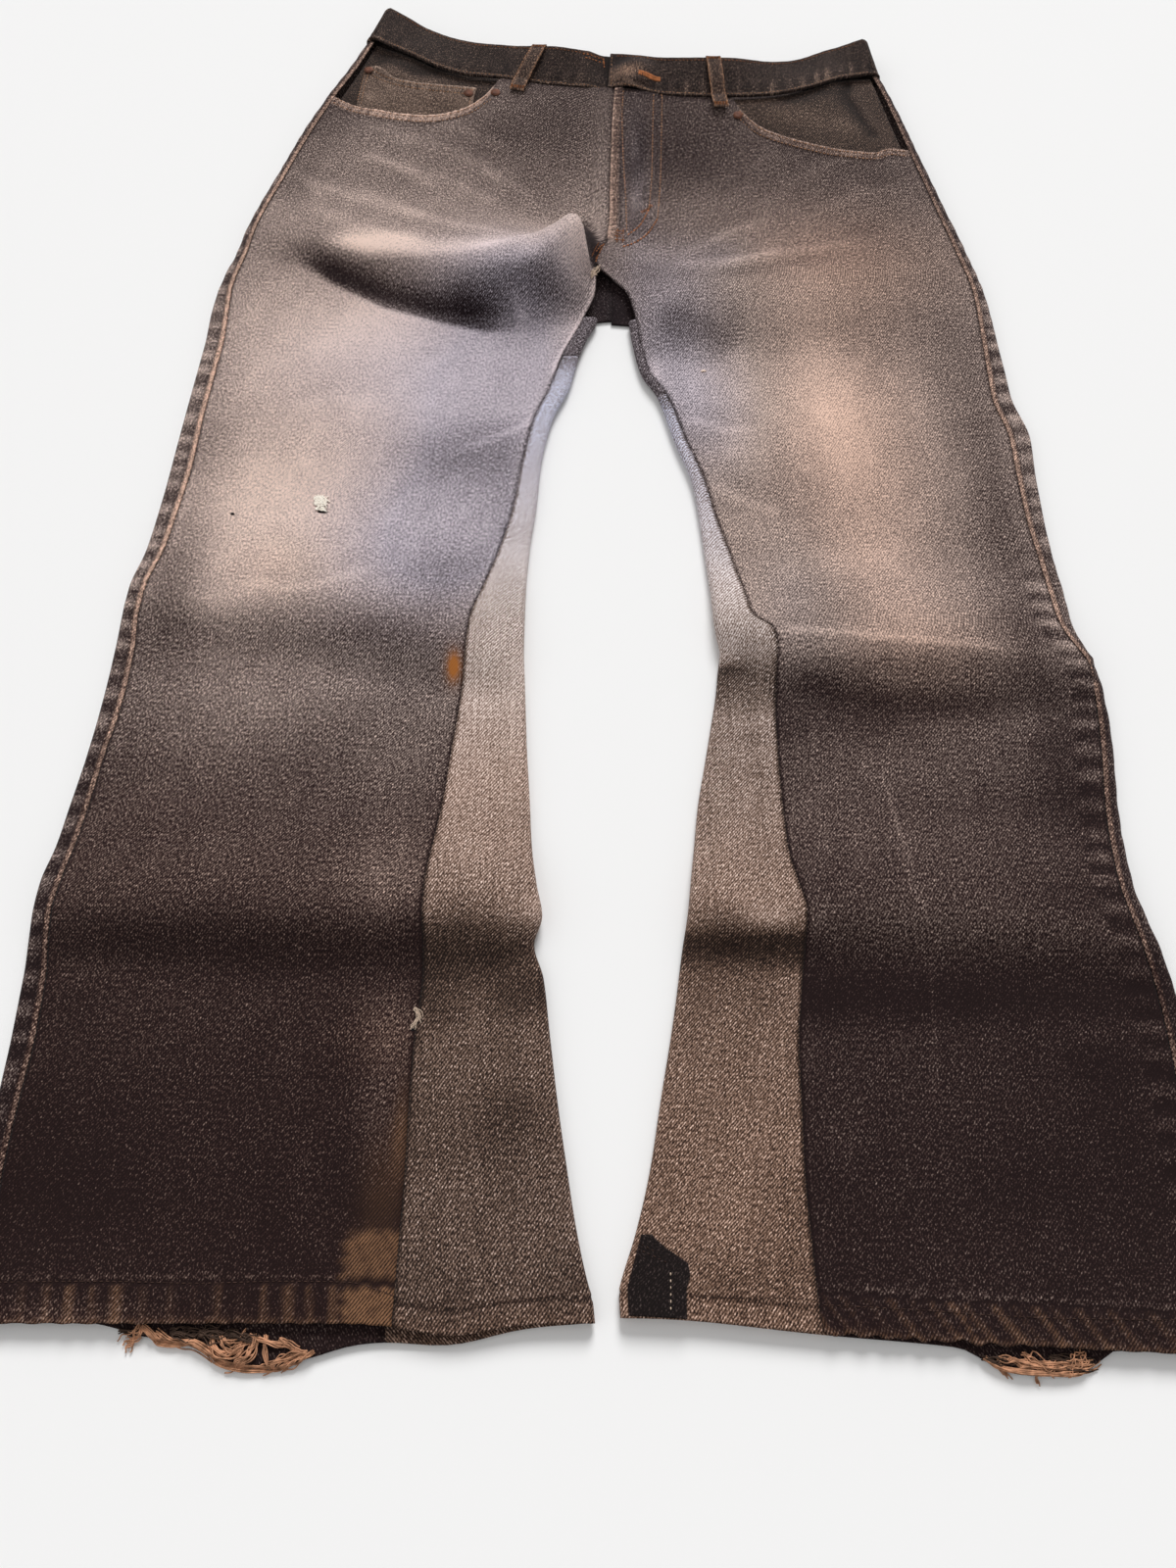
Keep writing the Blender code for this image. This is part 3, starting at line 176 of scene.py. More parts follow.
MOUTHS = {
    "right": (
        (-224, 991), (-199, 977), (-163, 964), (-136, 960), (-110, 966), (-90, 983), (-78, 1004.5)),
    "left": (
        (277, 925), (262, 926), (247, 920), (224, 922), (181, 932), (153, 944), (134, 965), (127, 979.3))}
# How far the torn back hems hang below the fronts': x and depth.
SAGS = {
    "right": (
        (-275, 0), (-262, -3), (-246, -7), (-222, -10), (-206, -17), (-194, -20), (-180, -21.5),
        (-169, -21.5), (-158, -18.5), (-150, -16.5), (-140, -13.5), (-130, -11), (-109, -8), (-50, -3),
        (4, 0)),
    "left": (
        (18, 0), (130, -1), (205, -3), (216, -7), (226, -12), (240, -15), (268, -14), (281, -7), (292, 0))}
SAG_FADE = 45.0
# How far each wedge's hem dips, where, and how far to a side.
HEM_DIPS = {"right": (6, -76, 30), "left": (-3.5, 50, 62)}
DIP_FADE = 60.0


def curve_at(table, value):
    """Read a two-column table between its rows, on a smooth curve that never overshoots them."""
    xs, ys = np.array(sorted(table), float).T
    steps = np.diff(xs)
    slopes = np.diff(ys) / steps
    first, last = 2 * steps[1:] + steps[:-1], steps[1:] + 2 * steps[:-1]
    with np.errstate(divide="ignore", invalid="ignore"):
        mean = (first + last) / (first / slopes[:-1] + last / slopes[1:])
    bend = np.concatenate((slopes[:1], np.where(slopes[1:] * slopes[:-1] > 0, mean, 0), slopes[-1:]))
    value = np.clip(value, xs[0], xs[-1])
    n = np.clip(np.searchsorted(xs, value) - 1, 0, len(xs) - 2)
    t = (value - xs[n]) / steps[n]
    return ((1 + 2 * t) * (1 - t) ** 2 * ys[n] + t * (1 - t) ** 2 * steps[n] * bend[n]
            + t * t * (3 - 2 * t) * ys[n + 1] + t * t * (t - 1) * steps[n] * bend[n + 1])


def ease(value):
    """0 up to 0 and 1 from 1, with a soft start and end between."""
    value = np.clip(value, 0, 1)
    return value * value * (3 - 2 * value)


def bell(value, middle, width):
    """1 where the value is at the middle, easing to 0 on both sides of it."""
    return np.exp(-((value - middle) / width) ** 2)


def waist_at(x, column):
    """One column of the waist's table."""
    return curve_at([(row[0], row[column]) for row in WAIST], x)


class Leg:
    """One leg's rows, read at any place down it.  sign points from its outer side to its inner one."""

    def __init__(self, name, sign, rows, tip, fork):
        self.name, self.sign, self.tip, self.fork = name, sign, tip, fork
        self.mouth = MOUTHS[name]
        whole = [tuple(row) + (None,) * (7 - len(row)) for row in rows]
        self.tilts, self.outers, self.outseams, self.seams = (
            [(row[0], row[n]) for row in whole] for n in (1, 2, 3, 4))
        self.inners = [(row[0], row[5] if row[5] is not None else row[4]) for row in whole]
        self.backs = [(0, 0), (fork, fork)] + [(row[0], row[6]) for row in whole if row[6]]

    def row_y(self, row, x):
        inner, outer = curve_at(self.inners, row), curve_at(self.outers, row)
        depth, middle, reach = HEM_DIPS[self.name]
        dip = depth * bell(x, middle, reach) * (1 - ease(row / DIP_FADE))
        return row + curve_at(self.tilts, row) * np.clip((x - inner) / (outer - inner), 0, 1) - dip

    def floor_y(self, row, x):
        """On the underside the hem sags, and the seat's rows curve to their own centre seam."""
        low = self.row_y(row, x) + curve_at(SAGS[self.name], x) * (1 - ease(row / SAG_FADE))
        outer, tilt = curve_at(self.outers, row), curve_at(self.tilts, row)
        share = np.clip((x - outer) / (CENTRE_SEAM - outer), 0, 1)
        seat = row + tilt + (curve_at(self.backs, row) - row - tilt) * (1 - (1 - share) ** 2)
        return np.where(row <= self.fork, low, seat)

    def floor_seam(self, row):
        """Where the wedge, or the inner turn of the back, ends on the underside."""
        inner = curve_at(self.inners, row)
        wide = np.where(row < self.tip, np.abs(inner - curve_at(self.seams, row)), 3.0)
        return np.where(row <= self.fork, inner - self.sign * (FOLD_REACH + wide), CENTRE_SEAM)


RIGHT = Leg("right", 1, RIGHT_ROWS, 696, 737)
LEFT = Leg("left", -1, LEFT_ROWS, 657, 733)


def top_height(x, y):
    """The upper face of the jeans anywhere: low on the legs, higher at the hips, side folds and big folds."""
    x, y = np.broadcast_arrays(np.asarray(x, float), np.asarray(y, float))
    middle = curve_at(MIDDLE_HEIGHT, y)
    middle = middle + (waist_at(x, 2) - middle) * ease((y - HIP_FROM) / (HIP_TO - HIP_FROM))
    on_right = x < CENTRE_SEAM
    outer = np.where(on_right, curve_at(RIGHT.outers, y), curve_at(LEFT.outers, y))
    inner = np.where(on_right, curve_at(RIGHT.inners, y), curve_at(LEFT.inners, y))
    parted = ease((np.where(on_right, RIGHT.fork, LEFT.fork) - y) / 25)
    edge = curve_at(EDGE_HEIGHT, y) - middle
    from_outer, from_inner = (np.maximum(np.abs(x - side) - FOLD_REACH, 0) for side in (outer, inner))
    height = middle + edge * np.maximum(
        bell(from_outer, 0, FOLD_BLEND), parted * bell(from_inner, 0, FOLD_BLEND))
    for crests in FOLDS:
        xs, *columns = zip(*crests)
        crest_y, tall, below, above = (curve_at(zip(xs, column), x) for column in columns)
        off = (y - crest_y) / np.where(y > crest_y, above, below)
        near = (np.abs(off) < 1) & (x >= xs[0]) & (x <= xs[-1])
        height = height + np.where(near, tall * 0.5 * (1 + np.cos(np.pi * off)), 0)
    return height


def floor_height(row):
    """The underside lies on the table, and at the seat on the pockets and loops."""
    return SEAT_LIFT * ease((row - SEAT_FROM) / (SEAT_TO - SEAT_FROM))


def top_run(leg, row, start, end, shares):
    """Rows of points over the top of a leg, between two lines down it."""
    x = start + (end - start) * shares
    y = leg.row_y(row, x)
    return np.stack(np.broadcast_arrays(x, y, top_height(x, y)), axis=-1)


def floor_run(leg, row, start, end, shares):
    """The same under a leg."""
    x = start + (end - start) * shares
    return np.stack(np.broadcast_arrays(x, leg.floor_y(row, x), floor_height(row)), axis=-1)


FOLD_TURN = np.radians(np.linspace(90, -90, 9))


def side_fold(leg, row, edge, facing):
    """Half an ellipse from the top to the floor, facing +1 toward the leg's inner side."""
    middle = edge - facing * leg.sign * FOLD_REACH
    y = np.where((row <= leg.fork) | (facing < 0), leg.row_y(row, edge), row)
    low = floor_height(row)
    half = (top_height(middle, y) - low) / 2
    x = middle + facing * leg.sign * np.cos(FOLD_TURN) * FOLD_REACH
    return np.stack(np.broadcast_arrays(x, y, low + half + half * np.sin(FOLD_TURN)), axis=-1)


def rows_between(start, end, step, first=(0, 1), last=(0, 1)):
    """Places from start to end, step apart, closer over a stretch at either end: (how far, how close)."""
    places = [np.arange(start, start + first[0], first[1]) if first[0] else [],
              np.linspace(start + first[0], end - last[0],
                          max(2, round((end - start - first[0] - last[0]) / step) + 1)),
              end - np.arange(0, last[0], last[1])[::-1] if last[0] else []]
    return np.concatenate(places)


class Cloth:
    """A piece of cloth as rows and columns of points, in garment millimetres, while it is shaped and worn.

    lift moves it along its own face.  worn says how far the dye has gone, and in places carries
    painted shade and painted highlight; cool tints it, bare shows the undyed twill and rust stains it.  first,
    last, foot and head are how far each point lies from the four edges, side from the nearer side, edge from
    the nearest of all, and outer and inner from the leg's outer and inner side.
    """

    def __init__(self, name, places, towards):
        self.name = name
        middle = np.array(places.shape[:2]) // 2
        turned = self.faces_of(places)
        flipped = (turned * np.array(towards)).sum() < 0
        if flipped:
            places = places[:, ::-1]
            turned = self.faces_of(places)
        self.places, self.out = places, turned
        self.x, self.y = places[..., 0], places[..., 1]
        steps = np.linalg.norm(np.diff(places, axis=1), axis=-1)
        rises = np.linalg.norm(np.diff(places, axis=0), axis=-1)
        self.first = np.concatenate((np.zeros((len(steps), 1)), np.cumsum(steps, axis=1)), axis=1)
        self.foot = np.concatenate((np.zeros((1, rises.shape[1])), np.cumsum(rises, axis=0)), axis=0)
        self.last, self.head = self.first[:, -1:] - self.first, self.foot[-1:] - self.foot
        self.side = np.minimum(self.first, self.last)
        self.edge = np.minimum(self.side, np.minimum(self.foot, self.head))
        self.grain = self.first - self.first[:, middle[1]][:, None], self.foot + places[:1, :, 1]
        self.outer, self.inner = (self.last, self.first) if flipped else (self.first, self.last)
        self.lift, self.worn, self.cool, self.bare, self.rust = (np.zeros(self.x.shape) for _ in range(5))

    @staticmethod
    def faces_of(places):
        across, up = np.gradient(places, axis=1), np.gradient(places, axis=0)
        face = np.cross(across, up)
        return face / np.maximum(np.linalg.norm(face, axis=-1, keepdims=True), 1e-9)

    def spot(self, x, y, wide, tall, turn=0.0):
        """1 in the middle of a soft oval, easing to 0 round it."""
        angle = math.radians(turn)
        dx, dy = self.x - x, self.y - y
        return np.exp(-((dx * math.cos(angle) + dy * math.sin(angle)) / wide) ** 2
                      - ((dy * math.cos(angle) - dx * math.sin(angle)) / tall) ** 2)

    def line(self, path, width, ends=0.3, below=None):
        """1 along a line, easing to 0 across its width and toward its ends; below is its right side's width."""
        nearest, share = np.full(self.x.shape, 1e9), np.zeros(self.x.shape)
        right = np.zeros(self.x.shape, bool)
        path = np.array(path, float)
        lengths = np.linalg.norm(np.diff(path, axis=0), axis=1)
        before = np.concatenate(([0], np.cumsum(lengths)))
        for number, (start, end) in enumerate(zip(path, path[1:])):
            step, x, y = end - start, self.x - start[0], self.y - start[1]
            along = np.clip((x * step[0] + y * step[1]) / (step @ step), 0, 1)
            away = np.hypot(x - along * step[0], y - along * step[1])
            nearer = away < nearest
            nearest = np.where(nearer, away, nearest)
            share = np.where(nearer, (before[number] + along * lengths[number]) / before[-1], share)
            right = np.where(nearer, step[0] * y - step[1] * x < 0, right)
        width = np.where(right, below, width) if below else width
        return bell(nearest, 0, width) * (ease(np.minimum(share, 1 - share) / ends) if ends else 1)

    def dropped(self, place):
        """The point of the finished cloth straight below or above a place, or the nearest, and how it faces."""
        if len(place) == 2:
            down = -1.0 if self.out[..., 2].mean() > 0 else 1.0
            spot, face, _, _ = self.face.ray_cast(Vector((*place, -90.0 * down)), Vector((0, 0, down)))
            if spot is not None:
                return spot, face
            place = (*place, 8.0 if down < 0 else 0.0)
        spot, face, _, _ = self.face.find_nearest(Vector(place))
        return spot, face

    def made(self, look, slot, replaced, lies_on, thick=CLOTH, hem=False):
        """Cut the finished cloth as a mesh with its own UV map and thickness, and give it its place."""
        places = self.places + self.out * self.lift[..., None]
        places[..., 2] = np.maximum(places[..., 2], 0.0)
        rows, columns = self.x.shape
        weave = bmesh.new()
        bmesh.ops.create_grid(weave, x_segments=columns - 1, y_segments=rows - 1, size=1.0)
        mesh = mesh_of(self.name, weave)
        spots = (places - (ACROSS, ALONG, 0)) / 1000
        mesh.vertices.foreach_set("co", spots.astype(np.float32).ravel())
        for name in ("worn", "cool", "bare", "rust"):
            layer = mesh.attributes.new(name, "FLOAT", "POINT")
            layer.data.foreach_set("value", getattr(self, name).astype(np.float32).ravel())
        corners = np.empty(len(mesh.loops), np.int32)
        mesh.loops.foreach_get("vertex_index", corners)
        cut = np.stack([part.ravel()[corners] / 1000 for part in self.grain], axis=1)
        mesh.uv_layers.new(name="cut").data.foreach_set("uv", cut.astype(np.float32).ravel())
        mesh.shade_smooth()
        mesh.materials.append(look)
        mesh.update()
        piece = shown(self.name, mesh)
        wall = piece.modifiers.new("thickness", "SOLIDIFY")
        wall.offset, wall.thickness = -1.0, thick / 1000
        if hem:
            group = piece.vertex_groups.new(name="hem")
            turned_up = (self.y < HEM_TURN).ravel()
            for part, share in ((turned_up, 1.0), (~turned_up, thick / HEM_CLOTH)):
                group.add(np.nonzero(part)[0].tolist(), share, "REPLACE")
            wall.thickness, wall.vertex_group = HEM_CLOTH / 1000, "hem"
        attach(piece, "root")
        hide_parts(replaced)
        corners = [face.vertices[:] for face in mesh.polygons]
        self.face = BVHTree.FromPolygons(places.reshape(-1, 3).tolist(), corners)


def uneven(run, pitch, seed):
    """-1 to 1 along a seam, in uneven puckers about pitch millimetres apart."""
    chance, many = np.random.default_rng(seed), 4000
    knots = np.cumsum(pitch * chance.uniform(0.32, 0.85, many)) - 600
    heights = chance.uniform(0.25, 1.0, many) * np.where(np.arange(many) % 2, 1, -1)
    place = np.interp(run, knots, np.arange(many))
    low = np.floor(place).astype(int)
    share = ease(place - low)
    return heights[low] * (1 - share) + heights[np.minimum(low + 1, many - 1)] * share


def within(value, low, high, soft):
    """1 between low and high, easing to 0 outside them."""
    return ease((value - low + soft) / soft) * ease((high + soft - value) / soft)


def unevenness(cloth, seed, height=0.4, patch=42.0):
    """Cloth never lies quite flat: long low waves that cross each other, faded out at its edges."""
    chance = np.random.default_rng(seed)
    waves = np.zeros(cloth.x.shape)
    for _ in range(6):
        angle, phase = chance.uniform(0, math.pi), chance.uniform(0, 2 * math.pi)
        size = patch * chance.uniform(0.5, 1.8)
        bend = 0.9 * np.sin((cloth.x * 0.7 - cloth.y) / (size * 2.3) + phase * 2)
        waves += np.sin((cloth.x * math.cos(angle) + cloth.y * math.sin(angle)) / size * 2 + phase + bend)
    cloth.lift += height * waves / 3 * ease(cloth.edge / 14)
    cloth.worn += 0.012 * waves


def look_of_denim(name, steps, twill=1.0, fleck=1.0):
    """Twill denim.  worn says how far the dye has gone and carries painted shade and highlight, cool tints it,
    and bare shows the undyed twill.
    """
    look, nodes, links, shader = blank_look(name)

    def fed(kind, *values, **settings):
        """A new node whose first sockets take these values: a constant, or a link from another node."""
        made = nodes.new(kind)
        for setting, value in settings.items():
            setattr(made, setting, value)
        sockets = [socket for socket in made.inputs if socket.enabled]
        for socket, value in zip(sockets, values):
            if isinstance(value, (int, float, tuple)):
                socket.default_value = value
            else:
                links.new(value, socket)
        return next(socket for socket in made.outputs if socket.enabled)

    def sums(operation, *values):
        return fed("ShaderNodeMath", *values, operation=operation)

    def mixed(kind, amount, below, above):
        return fed("ShaderNodeMix", amount, below, above, data_type="RGBA", blend_type=kind)

    def carried(layer):
        made = nodes.new("ShaderNodeAttribute")
        made.attribute_name = layer
        return made.outputs["Fac"]

    cut = nodes.new("ShaderNodeUVMap")
    cut.uv_map = "cut"

    def on_cut(kind, scale, turn, **values):
        """A pattern on the cut cloth, from -0.5 to 0.5."""
        place = set_on(nodes.new("ShaderNodeMapping"), Scale=scale, Rotation=(0, 0, math.radians(turn)))
        pattern = set_on(nodes.new(kind), **values)
        links.new(cut.outputs["UV"], place.inputs["Vector"])
        links.new(place.outputs["Vector"], pattern.inputs["Vector"])
        return sums("SUBTRACT", pattern.outputs["Fac"], 0.5)

    # The twill's ridges rise to the right, 1.6 mm apart.  Single threads and uneven warp threads cross them.
    ribs = on_cut("ShaderNodeTexWave", (1, 1, 1), 39, Scale=195.0, Distortion=1.2, Detail=1.0, Detail_Scale=3.0)
    dash, slub, cloud = (on_cut("ShaderNodeTexNoise", scale, 0, Scale=1.0, Detail=detail, Roughness=rough)
                         for scale, detail, rough in (((850, 480, 1), 1.0, 0.80), ((420, 30, 1), 3.0, 0.6),
                                                      ((60, 48, 1), 5.0, 0.65)))
    worn = carried("worn")
    grain = sums("MULTIPLY", ribs, 0.42 * twill)
    grain = sums("MULTIPLY_ADD", dash, 2.8 * fleck, grain)
    grain = sums("MULTIPLY_ADD", slub, 0.35, grain)
    clearest = sums("MINIMUM", sums("MULTIPLY_ADD", worn, -0.62, 0.95), 0.72)
    grain = sums("MULTIPLY", grain, sums("MAXIMUM", clearest, 0.38))
    wear_shade_and_grain = sums("ADD", worn, sums("MULTIPLY_ADD", cloud, 0.20, grain))
    ramp = nodes.new("ShaderNodeValToRGB")
    for number, (place, colour) in enumerate(steps):
        stop = ramp.color_ramp.elements[number] if number < 2 else ramp.color_ramp.elements.new(place)
        stop.position, stop.color = place, (*colour, 1)
    links.new(wear_shade_and_grain, ramp.inputs["Fac"])

    cool = carried("cool")
    colour = mixed("MULTIPLY", sums("MAXIMUM", cool, 0.0), ramp.outputs["Color"], (0.82, 0.95, 1.22, 1))
    warm = sums("MAXIMUM", sums("MULTIPLY", cool, -1.0), 0.0)
    colour = mixed("MULTIPLY", warm, colour, (1.14, 0.94, 0.80, 1))
    undyed = nodes.new("ShaderNodeVectorMath")
    undyed.operation = "SCALE"
    undyed.inputs[0].default_value = (0.150, 0.076, 0.041)
    links.new(sums("MULTIPLY_ADD", ribs, 1.5, sums("MULTIPLY_ADD", dash, 1.2, 0.95)), undyed.inputs["Scale"])
    bare = sums("ADD", carried("bare"), sums("MULTIPLY", sums("MULTIPLY", cloud, 1.2), carried("bare")))
    bare = sums("MINIMUM", sums("MAXIMUM", bare, 0.0), 1.0)
    colour = mixed("MIX", bare, colour, undyed.outputs["Vector"])
    links.new(mixed("MIX", carried("rust"), colour, (0.42, 0.15, 0.035, 1)), shader.inputs["Base Color"])

    bump = set_on(nodes.new("ShaderNodeBump"), Strength=0.5, Distance=0.0004)
    links.new(sums("MULTIPLY_ADD", ribs, 0.6 * twill, sums("MULTIPLY", dash, 0.7)), bump.inputs["Height"])
    links.new(bump.outputs["Normal"], shader.inputs["Normal"])
    links.new(sums("MULTIPLY_ADD", dash, 0.2, 0.86), shader.inputs["Roughness"])
    set_on(shader, Sheen_Weight=0.04, Sheen_Roughness=0.5, Specular_IOR_Level=0.08)
    return look


washed_denim = look_of_denim("washed_denim", (
    (0.0, (0.0130, 0.0066, 0.0068)), (1.0, (0.82, 0.62, 0.53)), (0.18, (0.0345, 0.0190, 0.0182)),
    (0.38, (0.086, 0.060, 0.053)), (0.60, (0.205, 0.156, 0.139)), (0.82, (0.45, 0.345, 0.305))))

# How far the dye has gone down each leg, by height.  The dips under the knee and shin folds are painted shade
# on the slopes below their crests.
WORN_AND_SHADED_DOWN = {
    "right": (
        (0, 0.0), (25, -0.02), (60, -0.04), (90, 0.0), (134, 0.06), (181, 0.12), (205, 0.05), (218, 0.09),
        (240, 0.24), (262, 0.3), (300, 0.28), (340, 0.34), (370, 0.43), (400, 0.52), (431, 0.5),
        (459, 0.66), (480, 0.78), (560, 0.81), (603, 0.8), (650, 0.86), (730, 0.82), (800, 0.66),
        (900, 0.58), (1000, 0.4)),
    "left": (
        (0, 0.04), (25, 0.05), (60, 0.04), (90, 0.06), (134, 0.14), (157, 0.16), (172, 0.02), (181, -0.08),
        (192, -0.04), (205, 0.11), (218, 0.26), (229, 0.33), (254, 0.29), (290, 0.33), (311, 0.28),
        (340, 0.34), (370, 0.24), (397, 0.33), (415, 0.48), (424, 0.6), (440, 0.66), (540, 0.66),
        (600, 0.68), (641, 0.69), (681, 0.65), (719, 0.6), (758, 0.62), (801, 0.56), (846, 0.46),
        (892, 0.37), (943, 0.34), (1000, 0.3))}
# Soft spots: x, y, half width, half height, how much more (or less) the dye has gone, and the spot's turn.
# Most are wear; on the right thigh the dark spots at (-30, 748), (2, 816) and (10, 790) are painted shade under
# the roll and beside the puff, and the light ones at (-185, 803) and (-180, 800) a painted highlight on its
# crest.
WEAR_AND_PAINTED_LIGHT = {
    "right": (
        (-185, 725, 66, 46, 0.14), (-210, 560, 62, 60, 0.12, 8), (-88, 602, 40, 26, -0.14, 10),
        (-295, 640, 24, 120, -0.16), (-300, 480, 24, 60, -0.25), (-250, 330, 60, 80, 0.02),
        (-235, 960, 30, 60, -0.1), (-30, 960, 45, 80, -0.14), (-253, 887, 26, 30, -0.14),
        (-81, 935, 35, 28, -0.14), (-9, 926, 23, 42, -0.12), (-46, 880, 34, 26, -0.08),
        (-235, 803, 25, 11, -0.14), (-97, 585, 37, 28, -0.06), (-103, 490, 32, 26, -0.15),
        (-63, 566, 16, 50, -0.08), (-138, 442, 32, 18, -0.05), (-130, 250, 24, 33, 0.13),
        (-129, 166, 23, 27, 0.16), (-125, 111, 18, 26, 0.06), (-178, 145, 18, 36, 0.04),
        (-31, 787, 50, 21, 0.1), (-14, 774, 13, 30, 0.16), (-30, 748, 34, 13, -0.26),
        (2, 816, 6, 20, -0.5, 18), (10, 790, 7, 22, -0.55, 12), (-265, 458, 40, 14, 0.12),
        (-300, 5, 60, 9, 0.22), (-125, 345, 44, 36, 0.13), (-120, 120, 20, 60, 0.17),
        (-165, 70, 16, 30, 0.1), (-148, 46, 12, 14, 0.1), (-185, 803, 42, 10, 0.15),
        (-185, 885, 40, 28, -0.06), (-42, 762, 24, 10, -0.1), (-305, 200, 44, 11, 0.14),
        (-46, 905, 30, 50, -0.05), (-180, 800, 54, 16, 0.11), (-125, 290, 40, 46, 0.06),
        (-113, 157, 16, 22, 0.06), (-207, 205, 24, 16, -0.05), (-281, 67, 30, 20, -0.06)),
    "left": (
        (185, 660, 34, 90, 0.19, 8), (220, 520, 42, 80, 0.14, 8), (300, 640, 30, 130, -0.18),
        (310, 480, 28, 70, -0.16), (120, 560, 36, 80, -0.04), (50, 900, 40, 60, -0.1),
        (77, 675, 39, 35, 0.12), (127, 661, 35, 50, 0.1), (223, 544, 37, 36, -0.06),
        (310, 566, 19, 74, -0.12), (252, 475, 43, 42, -0.08), (167, 465, 36, 25, -0.08),
        (318, 326, 17, 58, -0.16), (286, 276, 26, 42, -0.06), (140, 232, 12, 8, 0.14),
        (315, 70, 40, 60, -0.07), (60, 790, 40, 30, -0.05), (43, 926, 12, 37, -0.1),
        (85, 924, 43, 37, -0.08), (223, 929, 52, 23, -0.06), (43, 985, 3, 14, 0.1), (40, 926, 4, 18, 0.2),
        (52, 915, 3, 22, 0.1), (40, 868, 4, 14, 0.18), (52, 800, 26, 14, 0.12), (40, 834, 16, 14, -0.12),
        (280, 372, 60, 14, 0.2), (225, 400, 40, 9, 0.13), (305, 445, 28, 22, -0.14),
        (130, 372, 30, 16, -0.08), (60, 1000, 60, 30, -0.1), (130, 530, 32, 20, 0.09),
        (118, 603, 24, 16, 0.09), (52, 681, 8, 14, 0.15), (305, 240, 46, 20, -0.12),
        (300, 146, 40, 18, -0.14), (150, 100, 12, 16, 0.12), (150, 399, 20, 10, -0.15),
        (50, 892, 9, 14, 0.1), (64, 925, 30, 60, -0.04), (118, 892, 24, 16, -0.08),
        (253, 892, 22, 18, -0.08), (200, 370, 16, 8, -0.07), (315, 429, 18, 16, -0.09),
        (142, 311, 14, 14, 0.08), (316, 125, 20, 40, -0.09), (259, 67, 26, 18, -0.06))}
# The same, with how cool (or warm) the cloth has turned.
TINT = {
    "right": (
        (-85, 640, 72, 110, 1.1), (-180, 690, 80, 60, 0.35), (-60, 762, 70, 44, 0.55),
        (-112, 515, 72, 70, 1.1), (-40, 700, 50, 60, 0.4), (-140, 320, 120, 70, 0.1),
        (-125, 157, 34, 24, -0.3), (-220, 493, 34, 30, -0.2)),
    "left": (
        (60, 720, 50, 60, 0.75), (60, 790, 50, 40, 0.4), (80, 640, 50, 60, 0.8), (200, 600, 70, 190, -0.55),
        (220, 800, 90, 60, -0.5), (240, 420, 60, 40, -0.3), (42, 900, 12, 80, 0.5), (152, 470, 30, 70, 0.3),
        (114, 801, 24, 20, 0.3))}
